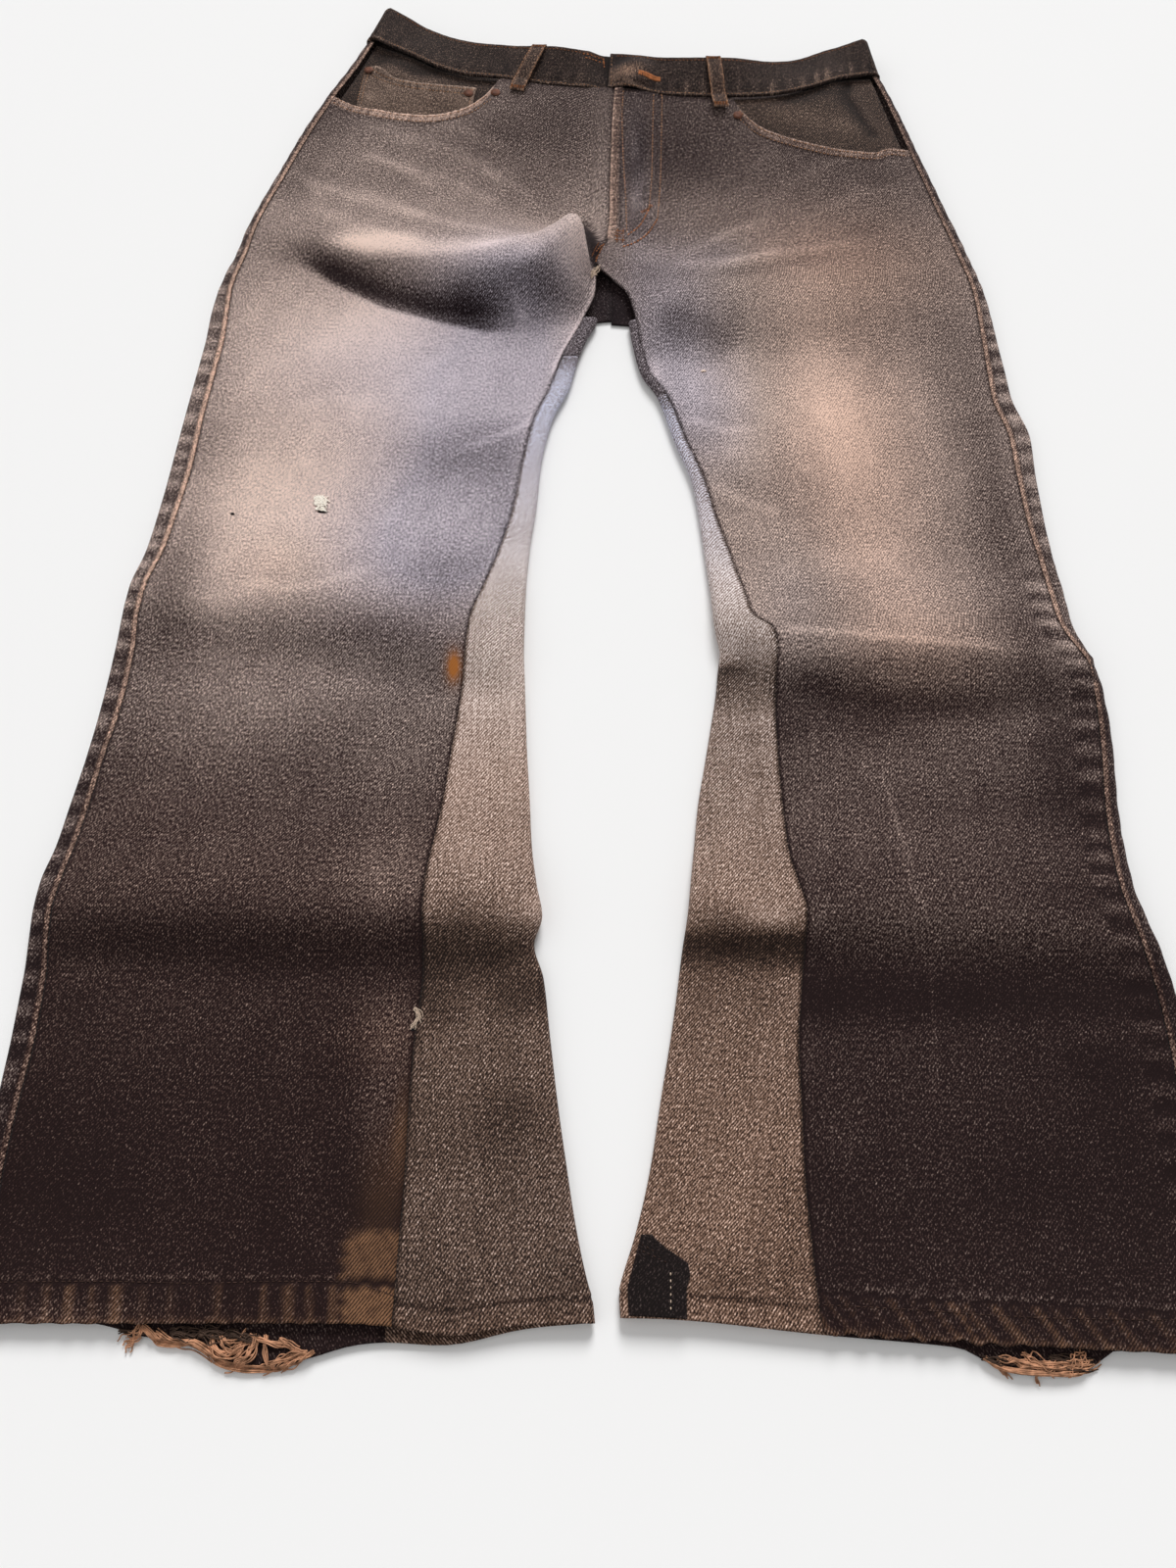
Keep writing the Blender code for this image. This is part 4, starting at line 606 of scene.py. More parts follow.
# Creases: path, width, how high or low, how much lighter the ridge has worn, and the width on its right side.
# Negative values darken the line: on the right thigh's roll, beside the puff and under the knee folds these are
# painted shade, and the light line along the roll's crest is a painted highlight.
CREASES = {
    "right": (
        # The next three lines are painted shade: the dark crescent on the slope under the right thigh's roll.
        (((-252, 806), (-228, 789), (-205, 772), (-164, 749), (-124, 736), (-84, 726), (-50, 722)),
        20, -1.0, -0.58, 3.0),
        (((-240, 800), (-205, 777), (-164, 756), (-124, 743), (-84, 737), (-56, 737)), 15, 0, -0.3, 2.5),
        (((-118, 752), (-84, 748), (-50, 750)), 15, 0, -0.12, 14),
        (((-14, 838), (-13, 826), (-6, 795), (-2, 781), (3, 768)), 2.0, 3.6, 0.06, 10),
        # painted shadow to the right of the puff's raised edge
        (((-12, 842), (-9, 826), (-1, 797), (3, 783), (7, 772)), 9, -0.6, -0.5, 1.4),
        (((-100, 782), (-70, 787), (-38, 800), (-17, 834)), 4, 1.6, 0.06, 9),
        # painted highlight along the lit crest of the roll
        (((-228, 818), (-177, 796), (-127, 787), (-84, 785), (-50, 788)), 15, 0.6, 0.24, 6),
        (((-197, 921), (-160, 899), (-115, 868)), 5, 0.5, 0.1),
        (((-204, 876), (-165, 856), (-129, 832)), 6, 0.5, 0.1),
        (((-99, 901), (-70, 884), (-42, 862)), 4, 0.5, 0.08), (((-130, 952), (-66, 918)), 5, 0.4, 0.08),
        (((-199, 952), (-139, 930)), 4, 0.4, 0.07), (((-262, 905), (-236, 880), (-222, 850)), 5, 0.4, 0.08),
        (((-64, 751), (-59, 744), (-54, 734), (-52, 727)), 3, 0.7, 0.16),
        (((-253, 893), (-179, 852), (-91, 816), (-48, 797)), 6, 0.7, 0.11),
        (((-250, 861), (-187, 820), (-128, 794)), 7, 0.6, 0.09),
        (((-218, 922), (-126, 889), (-66, 851)), 6, 0.6, 0.08),
        (((-189, 938), (-128, 924), (-59, 880)), 6, 0.4, 0.06),
        (((-256, 479), (-210, 473), (-176, 484), (-149, 498)), 5, 0.5, 0.07),
        # painted shade on the slope under the right knee fold
        (((-340, 449), (-258, 452), (-209, 456), (-152, 440), (-109, 427)), 16, -0.3, -0.06, 10),
        (((-110, 600), (-75, 613), (-30, 637)), 4, 0.8, 0.12),
        (((-250, 640), (-200, 652), (-150, 648)), 8, 0.6, 0.03)),
    "left": (
        (((46, 785), (88, 789), (129, 792), (187, 806), (246, 822)), 4, 0.8, 0.09, 9),
        (((67, 793), (112, 822), (163, 846)), 5, 0.6, 0.1),
        (((83, 772), (126, 792), (171, 808)), 4, 0.5, 0.09),
        (((165, 876), (210, 905), (253, 926)), 6, 0.5, 0.09),
        (((190, 850), (240, 872), (275, 880)), 5, 0.4, 0.07),
        (((100, 880), (140, 900), (170, 925)), 5, 0.3, 0.05),
        (((72, 775), (128, 778), (211, 798)), 6, -0.5, -0.06),
        # painted shade on the slope under the left thigh's fold
        (((52, 740), (90, 720), (125, 699)), 17, -0.7, -0.12),
        (((68, 632), (87, 630), (106, 622), (135, 622)), 5, 0.7, 0.1),
        (((85, 576), (116, 556), (150, 542)), 5, 0.7, 0.1),
        (((112, 441), (150, 437), (204, 431), (254, 427), (313, 420)), 3, 0.6, 0.16),
        # painted shade on the slope under the left knee fold
        (((136, 400), (169, 393), (202, 386), (256, 379), (305, 373)), 14, -0.8, -0.16, 12),
        (((197, 348), (203, 290), (206, 252), (217, 217)), 1.6, 0.35, 0.17),
        (((217, 222), (212, 160), (206, 110)), 1.9, 0.2, 0.12), (((153, 375), (155, 350)), 1.8, 0.1, 0.12),
        (((154, 304), (156, 270)), 1.8, 0.1, 0.07), (((230, 700), (260, 640), (270, 560)), 10, 0.5, 0.03))}
HEM_STITCH = 21.0                   # how far up the hem's stitching runs
FLY_FOOT = 812
MAIN_ROWS = rows_between(0, POCKET_ROW, 2.9, first=(27, 1.35))
TOP_SHARES = 1 - np.linspace(1, 0, 46) ** 1.25
FRONT_ACROSS = rows_between(0, 1, 0.0120, first=(0.056, 0.005), last=(0.056, 0.005))


def front_places(leg):
    """From the hem up, then closing up under the mouth of the pocket and the waist."""
    row, share = MAIN_ROWS[:, None], FRONT_ACROSS[None, :]
    low = top_run(leg, row, curve_at(leg.outseams, row), curve_at(leg.seams, row), share)
    u, (mouth_start, *_, mouth_end) = FRONT_ACROSS, (x for x, _ in leg.mouth)
    along_mouth = mouth_start + (mouth_end - mouth_start) * u / MOUTH_SHARE
    seam_end = curve_at(leg.seams, WAIST_ROW)
    along_waist = mouth_end + (seam_end - mouth_end) * (u - MOUTH_SHARE) / (1 - MOUTH_SHARE)
    high_x = np.where(u <= MOUTH_SHARE, along_mouth, along_waist)
    high_y = np.where(u <= MOUTH_SHARE, curve_at(leg.mouth, high_x), waist_at(high_x, 1))
    t = TOP_SHARES[1:, None]
    x = low[-1, :, 0] + (high_x - low[-1, :, 0]) * t
    y = low[-1, :, 1] + (high_y - low[-1, :, 1]) * t
    outseam = [(float(leg.row_y(row_at, side)), side) for row_at, side in leg.outseams]
    pull_outer = curve_at(outseam, y[:, :1]) - x[:, :1]
    pull_inner = curve_at(leg.seams, POCKET_ROW + t * (WAIST_ROW - POCKET_ROW)) - x[:, -1:]
    x = x + pull_outer * (1 - share) ** 8 + pull_inner * share ** 8
    return np.concatenate((low, np.stack((x, y, top_height(x, y)), axis=-1)))


def roped_hem(cloth, stitch, lean, seed, rope=0.45, faded=1.0):
    """A groove over the hem's stitching, darkened with painted shade, and the slanted puckers that the turned
    hem twists into below it.
    """
    above = cloth.foot
    band = within(above, 0.5, stitch - 3, 3)
    twist = uneven(cloth.x + lean * above, 10.5, seed)
    ridge = np.maximum(twist, 0) ** 2
    cloth.lift += band * twist * rope - bell(above, stitch, 1.4) * 0.6
    cloth.worn += band * (0.02 + rope * (0.34 * ridge - 0.16 * (twist < 0)))
    cloth.bare += band * rope * 1.2 * ridge + rope * 1.2 * bell(above, 0, 2.4) * (
        0.5 + 0.5 * uneven(cloth.x, 6, seed + 11))
    cloth.worn += bell(above, 0, 2.2) * (0.22 + 0.12 * uneven(cloth.x, 8, seed + 9)) * faded
    cloth.worn += bell(above - stitch, 2.6, 1.6) * (0.20 + 0.10 * uneven(cloth.x, 9, seed + 7)) * faded
    cloth.worn += within(above, stitch + 1, stitch + 8, 4) * 0.10 * uneven(
        cloth.x - lean * above, 7, seed + 15) * faded
    # painted shade in the groove over the hem's stitching
    cloth.worn -= bell(above - stitch, -0.4, 1.2) * 0.22
    cloth.cool -= bell(above, 0, 12) * 0.25


def seam_beside(cloth, away, where, seed, ridge, wide, line):
    """Along a seam the cloth turns down at its edge, rises over the allowance and puckers with the stitches.
    line darkens the seam's edge as a painted shadow line.
    """
    tuck = uneven(cloth.foot, 11, seed)
    band = within(away, 1.0, wide, 2.0) * where
    cloth.lift += band * (ridge + 0.22 * tuck) - bell(away, 0, 0.9) * where * 0.45
    cloth.worn += band * 0.03 * tuck + bell(away, 0.5, 1.2) * where * line


# Where bleach took the dye off the right hem: from x to x, from y to y, and how much.
BLEACHED = ((-134, -106, 26, 44, 0.68), (-133, -106, -4, 14, 0.90))
RUST_SPOT = (-93.5, 413)

fronts = {}
for leg, seed, lean in ((RIGHT, 11, 0.10), (LEFT, 23, 0.75)):
    places = front_places(leg)
    if leg is LEFT:                     # the fly's edge laps over the right front
        places[..., 0] -= 1.8 * ease((places[..., 1] - FLY_FOOT) / 14) * FRONT_ACROSS[None, :] ** 9
    # The turned hem's edge is scalloped by its puckers, most beside the left wedge.
    scallop = 0.5 if leg is RIGHT else 0.5 + 1.1 * within(places[..., 0], 132, 232, 16)
    by_hem = bell(places[..., 1], places[:1, :, 1], 9)
    places[..., 1] += scallop * uneven(places[..., 0], 12, seed + 21) * by_hem
    cloth = Cloth(f"front_{leg.name}_cloth", places, (0, 0, 1))
    unevenness(cloth, seed)
    low_leg = 1 - ease((cloth.y - 250) / 160)
    cloth.worn += curve_at(WORN_AND_SHADED_DOWN[leg.name], cloth.y) - 0.065 * low_leg
    cloth.cool -= low_leg * (0.40 if leg is RIGHT else 0.15)
    for table, layer in ((WEAR_AND_PAINTED_LIGHT, cloth.worn), (TINT, cloth.cool)):
        for x, y, wide, tall, amount, *turn in table[leg.name]:
            layer += amount * cloth.spot(x, y, wide, tall, *turn)
    for path, width, height, lighter, *below in CREASES[leg.name]:
        along = cloth.line(path, width, 0.22, *below)
        cloth.lift += height * along
        cloth.worn += lighter * along
    roped_hem(cloth, HEM_STITCH, lean, seed + 1)
    legs_only = ease((cloth.foot - 24) / 8)
    by_hip = ease((cloth.y - 800) / 60)
    seam_beside(cloth, cloth.outer, legs_only, seed + 2, ridge=0.1, wide=5, line=-0.22)
    seam_beside(cloth, cloth.inner, legs_only * (1 - by_hip), seed + 3, ridge=0.25, wide=5, line=-0.30)
    if leg is LEFT:
        low_leg = 1 - ease((cloth.y - 470) / 60)
        tuck = np.tanh(2.0 * uneven(cloth.foot, 15, seed + 4))
        cloth.worn += legs_only * low_leg * within(cloth.outer, 2.5, 15, 4) * (0.21 * tuck - 0.06)
        cloth.lift += legs_only * low_leg * within(cloth.outer, 3, 15, 4) * 0.3 * tuck
    # The mouth's edge is turned and sewn down with two rows, and its rope has worn pale.
    at_mouth = cloth.outer / (cloth.outer + cloth.inner) < MOUTH_SHARE - 0.01
    rim = at_mouth * within(cloth.head, -1, 7.5, 2)
    cloth.lift += rim * (0.35 + 0.35 * uneven(cloth.first, 5, seed + 5))
    cloth.worn += rim * (0.21 + 0.18 * uneven(cloth.first, 5, seed + 5)) * (1.0 if leg is RIGHT else 0.6)
    cloth.worn += at_mouth * bell(cloth.head, 0.5, 1.4) * 0.18
    cloth.worn -= at_mouth * bell(cloth.head, 9.5, 1.6) * 0.10
    cloth.cool -= rim * 0.5
    # painted shadow on the front just under the band's lower edge
    shade_under_band = (1 - at_mouth) * bell(cloth.head, 0, 4)
    cloth.worn -= shade_under_band * 0.10
    if leg is LEFT:
        # The fly's folded edge is thick, roped and pale, with the zip's marks worn through beside it.
        fly = ease((cloth.y - FLY_FOOT) / 10)
        rope = uneven(cloth.foot, 4.5, seed + 6)
        edge = within(cloth.inner, -1, 6.5, 1.5) * fly
        cloth.lift += edge * (1.0 + 0.3 * rope) + fly * within(cloth.inner, 6, 38, 3) * 0.4
        cloth.worn += edge * (0.08 + 0.17 * rope) + bell(cloth.inner, 0.6, 1.3) * fly * 0.30
        cloth.cool -= edge * 0.7
        cloth.worn -= fly * bell(cloth.inner, 8.5, 1.5) * 0.12
        cloth.worn += 0.05 * uneven(cloth.foot, 9, seed + 8) * within(cloth.inner, 26, 42, 3) * fly
    else:
        # Where the right front runs under the fly it sinks, and is darkened there as painted shade.
        by_fly = ease((cloth.y - 800) / 20)
        cloth.lift -= by_fly * bell(cloth.inner, 0, 3) * 1.6
        cloth.worn -= by_fly * bell(cloth.inner, 0, 4) * 0.25
        ridge = bell(cloth.inner, 1.0, 1.7) * within(cloth.y, 680, 772, 6)
        cloth.lift += ridge * 0.9
        cloth.worn += ridge * 0.35
        mottled = 1 + 0.35 * uneven(cloth.x + 0.6 * cloth.y, 9, 71)
        mottled = mottled + 0.3 * uneven(cloth.y - 0.4 * cloth.x, 7, 72)
        ragged_x = cloth.x + 2.5 * uneven(cloth.y, 9, 73)
        ragged_y = cloth.y + 2.5 * uneven(cloth.x, 9, 74)
        for low_x, high_x, low_y, high_y, amount in BLEACHED:
            cloth.bare += amount * mottled * within(ragged_x, low_x, high_x, 8) * within(
                ragged_y, low_y, high_y, 6)
        cloth.bare += 0.45 * cloth.spot(-111, 100, 5, 24) + 0.2 * cloth.spot(-120, 70, 12, 30)
        cloth.worn -= 0.30 * cloth.spot(-119, 60, 11, 9) + 0.3 * within(
            cloth.x, -132, -104, 4) * within(cloth.y, 20, 24, 2)
        cloth.rust += 1.2 * cloth.spot(*RUST_SPOT, 3.6, 7.5)
        cloth.rust += 0.3 * cloth.spot(*RUST_SPOT, 6, 12)
    cloth.made(washed_denim, "washed_denim", f"front_{leg.name}", f"back_{leg.name}", hem=True)
    fronts[leg.name] = cloth

# ==== Wedges ================================================================================================
# A wedge of paler, softer denim is let into each inseam from the hem to above the knee, over the inner fold.
# It is sewn with one seam a side, dark along its edge with a painted shadow line, and hemmed with the leg.
wedge_denim = look_of_denim("wedge_denim", (
    (0.0, (0.015, 0.010, 0.0090)), (1.0, (0.88, 0.79, 0.76)), (0.20, (0.044, 0.029, 0.024)),
    (0.42, (0.115, 0.080, 0.064)), (0.62, (0.25, 0.188, 0.160)), (0.82, (0.54, 0.44, 0.41))),
    twill=1.5, fleck=0.85)
# How far the dye has gone down each wedge, by height; the dips under the shin and knee folds are painted shade.
WEDGE_WORN_AND_SHADED = {
    "right": (
        (0, 0.3), (25, 0.32), (67, 0.35), (111, 0.33), (157, 0.36), (181, 0.18), (205, 0.1), (222, 0.26),
        (235, 0.48), (260, 0.54), (330, 0.66), (370, 0.75), (400, 0.8), (430, 0.76), (520, 0.8),
        (700, 0.88)),
    "left": (
        (0, 0.44), (25, 0.43), (67, 0.45), (157, 0.47), (181, 0.49), (193, 0.45), (199, 0.35), (205, 0.22),
        (211, 0.08), (217, 0.06), (222, 0.28), (229, 0.5), (254, 0.54), (282, 0.54), (330, 0.6),
        (370, 0.62), (390, 0.46), (402, 0.42), (412, 0.52), (422, 0.66), (450, 0.74), (560, 0.84),
        (700, 0.88))}
WEDGE_TINT = {
    "right": ((60, -0.5), (240, -0.6), (330, -0.6), (480, 0.1), (640, 1.0)),
    "left": ((60, -1.0), (240, -0.7), (330, -0.4), (480, 0.1), (640, 1.0))}
# Soft spots: x, y, half width, half height, and how much lighter or darker.  The dark spot at (99, 412) on the
# left wedge is painted shade under the knee fold.
WEDGE_SPOTS = {
    "right": (
        (-45, 112, 20, 22, -0.14), (-50, 150, 16, 12, -0.06), (-20, 190, 30, 14, -0.08),
        (-80, 235, 16, 14, -0.1), (-70, 70, 24, 14, 0.05), (-30, 232, 20, 16, 0.18),
        (-30, 200, 20, 10, 0.14), (-72, 183, 20, 16, 0.12), (-56, 67, 20, 22, -0.08),
        (-58, 111, 18, 20, -0.05), (-11, 22, 18, 16, -0.1), (-61, 207, 14, 8, -0.07)),
    "left": (
        (92, 407, 22, 7, -0.06), (99, 412, 14, 4.5, -0.3), (115, 231, 18, 8, 0.18),
        (105, 181, 16, 10, -0.08), (70, 190, 20, 10, -0.06), (110, 360, 16, 6, -0.08),
        (116, 335, 12, 5, -0.05), (96, 250, 20, 12, 0.05), (96, 429, 14, 9, 0.09), (87, 229, 14, 8, -0.08),
        (118, 67, 14, 22, -0.08), (77, 22, 26, 14, -0.05))}
WEDGE_STITCH = 13.0
WEDGE_ACROSS = rows_between(0, 1, 0.034, first=(0.10, 0.014), last=(0, 1))
UNDER_ACROSS = np.linspace(0, 1, 14)


def round_the_inner_fold(leg, row, row_under, over_shares, under_shares):
    """From the inseam on top, round the inner fold and back along the floor to the seam under the leg."""
    row = row[:, None]
    inner = curve_at(leg.inners, row)
    fold_top = inner - leg.sign * FOLD_REACH
    over = top_run(leg, row, curve_at(leg.seams, row), fold_top, over_shares[None, :])
    under = floor_run(leg, row, fold_top, leg.floor_seam(row_under[:, None]), under_shares[None, :])
    return np.concatenate((over[:, :-1], side_fold(leg, row, inner, 1), under[:, 1:]), axis=1)


wedges = {}
for leg, seed in ((RIGHT, 31), (LEFT, 43)):
    row = rows_between(0, leg.tip, 3.2, first=(27, 1.35))
    places = round_the_inner_fold(leg, row, row - 1e-6, WEDGE_ACROSS, UNDER_ACROSS)
    cloth = Cloth(f"wedge_{leg.name}_cloth", places, (leg.sign, 0, 0))
    unevenness(cloth, seed, height=0.25)
    cloth.worn += curve_at(WEDGE_WORN_AND_SHADED[leg.name], cloth.y) - 0.02
    for x, y, wide, tall, amount in WEDGE_SPOTS[leg.name]:
        cloth.worn += amount * cloth.spot(x, y, wide, tall)
    cloth.cool += np.interp(cloth.y, *zip(*WEDGE_TINT[leg.name]))
    cloth.worn -= 0.34 * bell(cloth.y.max(), cloth.y, 16)
    cloth.worn += 0.05 * uneven(cloth.x, 5, seed + 8) * within(cloth.y, 10, 420, 40)
    roped_hem(cloth, WEDGE_STITCH, 0, seed + 1, rope=0.05, faded=0.3)
    seam_beside(cloth, cloth.outer, 1.0, seed, ridge=0.1, wide=4, line=-0.30)
    cloth.made(wedge_denim, "wedge_denim", f"wedge_{leg.name}", f"back_{leg.name}", hem=True)
    wedges[leg.name] = cloth

# ==== Backs and yokes =======================================================================================
# The back panels turn round the outer folds up to the outseam on top, where their edge is light and roped.
# Under the legs they lie flat on the table, and their torn hems hang below the fronts.  The yokes are above.
YOKE_ROW = 945.0
STRIP_ACROSS = np.linspace(0, 1, 14)
FLOOR_ACROSS = np.linspace(0, 1, 34)
INSIDE_TOP = np.linspace(0, 1, 8)


def back_places(leg, row):
    """Along the floor from the seam under the leg, round the outer fold and up to the outseam on top."""
    row = row[:, None]
    outer = curve_at(leg.outers, row)
    turned_in = outer + leg.sign * FOLD_REACH
    floor = floor_run(leg, row, leg.floor_seam(row), turned_in, FLOOR_ACROSS[None, :])
    strip = top_run(leg, row, turned_in, curve_at(leg.outseams, row), STRIP_ACROSS[None, :])
    return np.concatenate((floor[:, :-1], side_fold(leg, row, outer, -1)[:, ::-1], strip[:, 1:]), axis=1)


backs = {}
for leg, seed in ((RIGHT, 51), (LEFT, 63)):
    for part, row in (("back", rows_between(0, YOKE_ROW, 3.6, first=(27, 1.35))),
                      ("yoke", rows_between(YOKE_ROW, WAIST_ROW, 2.4))):
        cloth = Cloth(f"{part}_{leg.name}_cloth", back_places(leg, row), (0, 0, -1))
        cloth.worn += curve_at(WORN_AND_SHADED_DOWN[leg.name], cloth.y) * 0.62 + 0.03
        on_top = within(cloth.out[..., 2], -0.2, 2, 0.3)
        tuck, rope = np.tanh(2.0 * uneven(cloth.foot, 17, seed)), uneven(cloth.foot, 4.5, seed + 5)
        away, edge = cloth.inner, 0.28 if leg is RIGHT else 0.20
        blotched = on_top * (1.0 if leg is RIGHT else ease((cloth.y - 470) / 60))
        cloth.lift += on_top * within(away, 0.5, 3.2, 1.0) * (0.45 + 0.12 * rope)
        cloth.worn += on_top * within(away, 0.3, 2.3, 1.0) * (edge + 0.10 * rope + 0.04 * tuck)
        cloth.cool -= on_top * within(away, 0, 3.0, 1.5) * 0.8
        cloth.worn -= on_top * bell(away, 5.0, 1.4) * 0.12
        cloth.worn += blotched * within(away, 5.0, 30, 1.5) * (0.22 * tuck + 0.02)
        cloth.lift += on_top * within(away, 5.0, 12, 2) * 0.25 * tuck
        if part == "back":
            # painted shade on the seat's cloth seen down between the legs at the crotch
            shade_near_crotch = cloth.spot(CENTRE_SEAM, 745, 42, 48)
            cloth.worn -= shade_near_crotch * 0.56
            cloth.cool += shade_near_crotch * 0.6
            # painted shade on the hem's underside where the torn back hangs out below the front
            cloth.worn -= bell(cloth.foot, 0, 14) * (1 - on_top) * 0.10
        cloth.made(washed_denim, "washed_denim", f"{part}_{leg.name}", f"back_pocket_{leg.name}",
                   hem=part == "back")
        backs[part, leg.name] = cloth
    # Between the wedge's tip and the crotch the back turns round the inner fold as well.
    row = rows_between(leg.tip, leg.fork, 2.5)
    places = round_the_inner_fold(leg, row, row, INSIDE_TOP, INSIDE_TOP)
    turn = Cloth(f"back_turn_{leg.name}_cloth", places, (leg.sign, 0, 0))
    turn.worn += 0.45
    turn.cool += 0.8
    turn.made(washed_denim, "washed_denim", f"back_{leg.name}", f"back_{leg.name}")

# ==== Pocket facings and coin pocket ========================================================================
# Darker, less worn denim faces each front pocket behind its mouth, one layer under the front.  The small coin
# pocket, with a turned and roped top, is sewn to the right facing.
LIGHT_CLOTH = 1.1
LAYER = 0.3                         # the gap between two layers of cloth
facing_denim = look_of_denim("facing_denim", (
    (0.0, (0.0105, 0.0068, 0.0058)), (1.0, (0.44, 0.33, 0.27)), (0.3, (0.040, 0.026, 0.0215)),
    (0.6, (0.125, 0.088, 0.070))))


def between_lines(low, high, columns, rows):
    """Points on the front between a low and a high line, each read along its own length."""
    u, v = np.linspace(0, 1, columns)[None, :], np.linspace(0, 1, rows)[:, None]
    (low_x, low_y), (high_x, high_y) = low(u), high(u)
    x, y = low_x + (high_x - low_x) * v, low_y + (high_y - low_y) * v
    return np.stack((x, y, top_height(x, y)), axis=-1)


def sunk(places, drop):
    """The same points, drop millimetres under the cloth above."""
    face = Cloth.faces_of(places)
    return places - face * np.sign(face[..., 2:]) * drop


def facing_places(leg):
    """From below the mouth up to the waist, from the outseam to 14 mm past the mouth's inner end."""
    inner_x = leg.mouth[-1][0] + leg.sign * 14
    low_x, high_x = leg.mouth[0][0] + leg.sign * 1.5, curve_at(leg.outseams, WAIST_ROW) + leg.sign * 1.5

    def low(u):
        x = low_x + (inner_x - low_x) * u
        return x, np.minimum(curve_at(leg.mouth, x), waist_at(x, 1) - 4) - 20 * ease(u / 0.2)

    def high(u):
        x = high_x + (inner_x - high_x) * u
        return x, waist_at(x, 1)

    drop = CLOTH + LAYER + 0.6 + (LIGHT_CLOTH + LAYER if leg is RIGHT else 0)
    return sunk(between_lines(low, high, 72, 40), drop)


COIN_TOP = ((-206, 1034), (-194, 1036), (-173, 1014), (-136, 1000), (-99, 993))
COIN_WIDTH, COIN_FOOT_X, COIN_TOP_X = 103.5, -207.5, -202.5


def coin_pocket_places():
    def low(u):
        x = COIN_FOOT_X + COIN_WIDTH * u
        return x, curve_at(MOUTHS["right"], x) - 9 * ease(u / 0.17)

    def high(u):
        x = COIN_TOP_X + COIN_WIDTH * u
        return x, curve_at(COIN_TOP, x)

    return sunk(between_lines(low, high, 60, 36), CLOTH + LAYER)


facings = {}
for name, places, seed in (("pocket_facing_right", facing_places(RIGHT), 81),
                           ("pocket_facing_left", facing_places(LEFT), 83),
                           ("coin_pocket", coin_pocket_places(), 85)):
    cloth = Cloth(f"{name}_cloth", places, (0, 0, 1))
    unevenness(cloth, seed, height=0.5, patch=18)
    rope = uneven(cloth.first, 6, seed)
    if name == "coin_pocket":
        cloth.worn += 0.50 + 0.16 * rope * within(cloth.head, 1, 9, 2)
        cloth.worn += 0.22 * bell(cloth.head, 1, 1.6) + 0.14 * bell(cloth.inner, 1, 2)
        cloth.lift += 0.3 * within(cloth.head, 1.5, 8, 1.5) + 0.2 * rope * within(cloth.head, 1, 12, 3)
        for path in (((-190, 1020), (-170, 990)), ((-150, 998), (-140, 975)), ((-200, 1000), (-192, 985))):
            cloth.lift += 0.8 * cloth.line(path, 4)
            cloth.worn += 0.12 * cloth.line(path, 3)
    elif name == "pocket_facing_right":
        ridge = ((-197, 1047), (-160, 1013), (-116, 1000))
        cloth.worn += 0.18 + 0.32 * cloth.line(ridge, 7)
        cloth.worn -= 0.22 * cloth.line(((-205, 1060), (-165, 1030), (-120, 1006)), 8)
        cloth.lift += 0.8 * cloth.line(ridge, 6)
    else:
        steep = ((238, 1016), (231, 995), (243, 964), (256, 940))
        level = ((160, 975), (194, 986), (226, 1004))
        cloth.worn += 0.28 + 0.12 * cloth.spot(190, 960, 40, 14) + 0.08 * cloth.spot(224, 952, 24, 12)
        cloth.worn -= 0.32 * cloth.line(steep, 3.5, ends=0.1, below=9)
        cloth.lift -= 1.2 * cloth.line(steep, 3.5, ends=0.1, below=7)
        cloth.worn -= 0.26 * cloth.line(level, 7)
        cloth.lift -= 0.8 * cloth.line(level, 6)
    cloth.cool -= 0.3
    cloth.made(facing_denim, "facing_denim", name, "yoke_left" if name.endswith("left") else "yoke_right",
               thick=LIGHT_CLOTH)
    facings[name] = cloth

# ==== Waistband =============================================================================================
# A straight band of two layers is sewn over the top of the fronts and the seat, with its left end buttoned over
# the right.  The button shows as a worn bump, and both edges have worn pale.
BAND_CLOTH, BAND_WIDTH, BAND_PROUD = 2.6, 38.0, 0.6
band_denim = look_of_denim("band_denim", (
    (0.0, (0.0110, 0.0068, 0.0060)), (1.0, (0.55, 0.38, 0.28)), (0.3, (0.041, 0.026, 0.022)),
    (0.6, (0.135, 0.090, 0.070))))
UP_THE_BAND = rows_between(0, 1, 0.055, first=(0.2, 0.03), last=(0.2, 0.03))
BUTTON_AT = (40.0, 0.42)            # x, and share of the way up the band


def band_places(x, share):
    """The band's outer face at places along and up it, and the way it faces."""
    x, share = np.broadcast_arrays(np.asarray(x, float), np.asarray(share, float))
    lean, rise = waist_at(x, 3), waist_at(x, 4)
    slope = np.stack((lean, np.sqrt(BAND_WIDTH ** 2 - lean ** 2 - rise ** 2), rise), axis=-1) / BAND_WIDTH
    climb = waist_at(x + 6, 2) - waist_at(x - 6, 2)
    face = np.cross(np.stack((np.full(x.shape, 12.0), np.zeros(x.shape), climb), axis=-1), slope)
    face /= np.linalg.norm(face, axis=-1, keepdims=True)
    low = np.stack((x, waist_at(x, 1), waist_at(x, 2) + BAND_PROUD), axis=-1)
    return low + slope * (BAND_WIDTH * share)[..., None], face


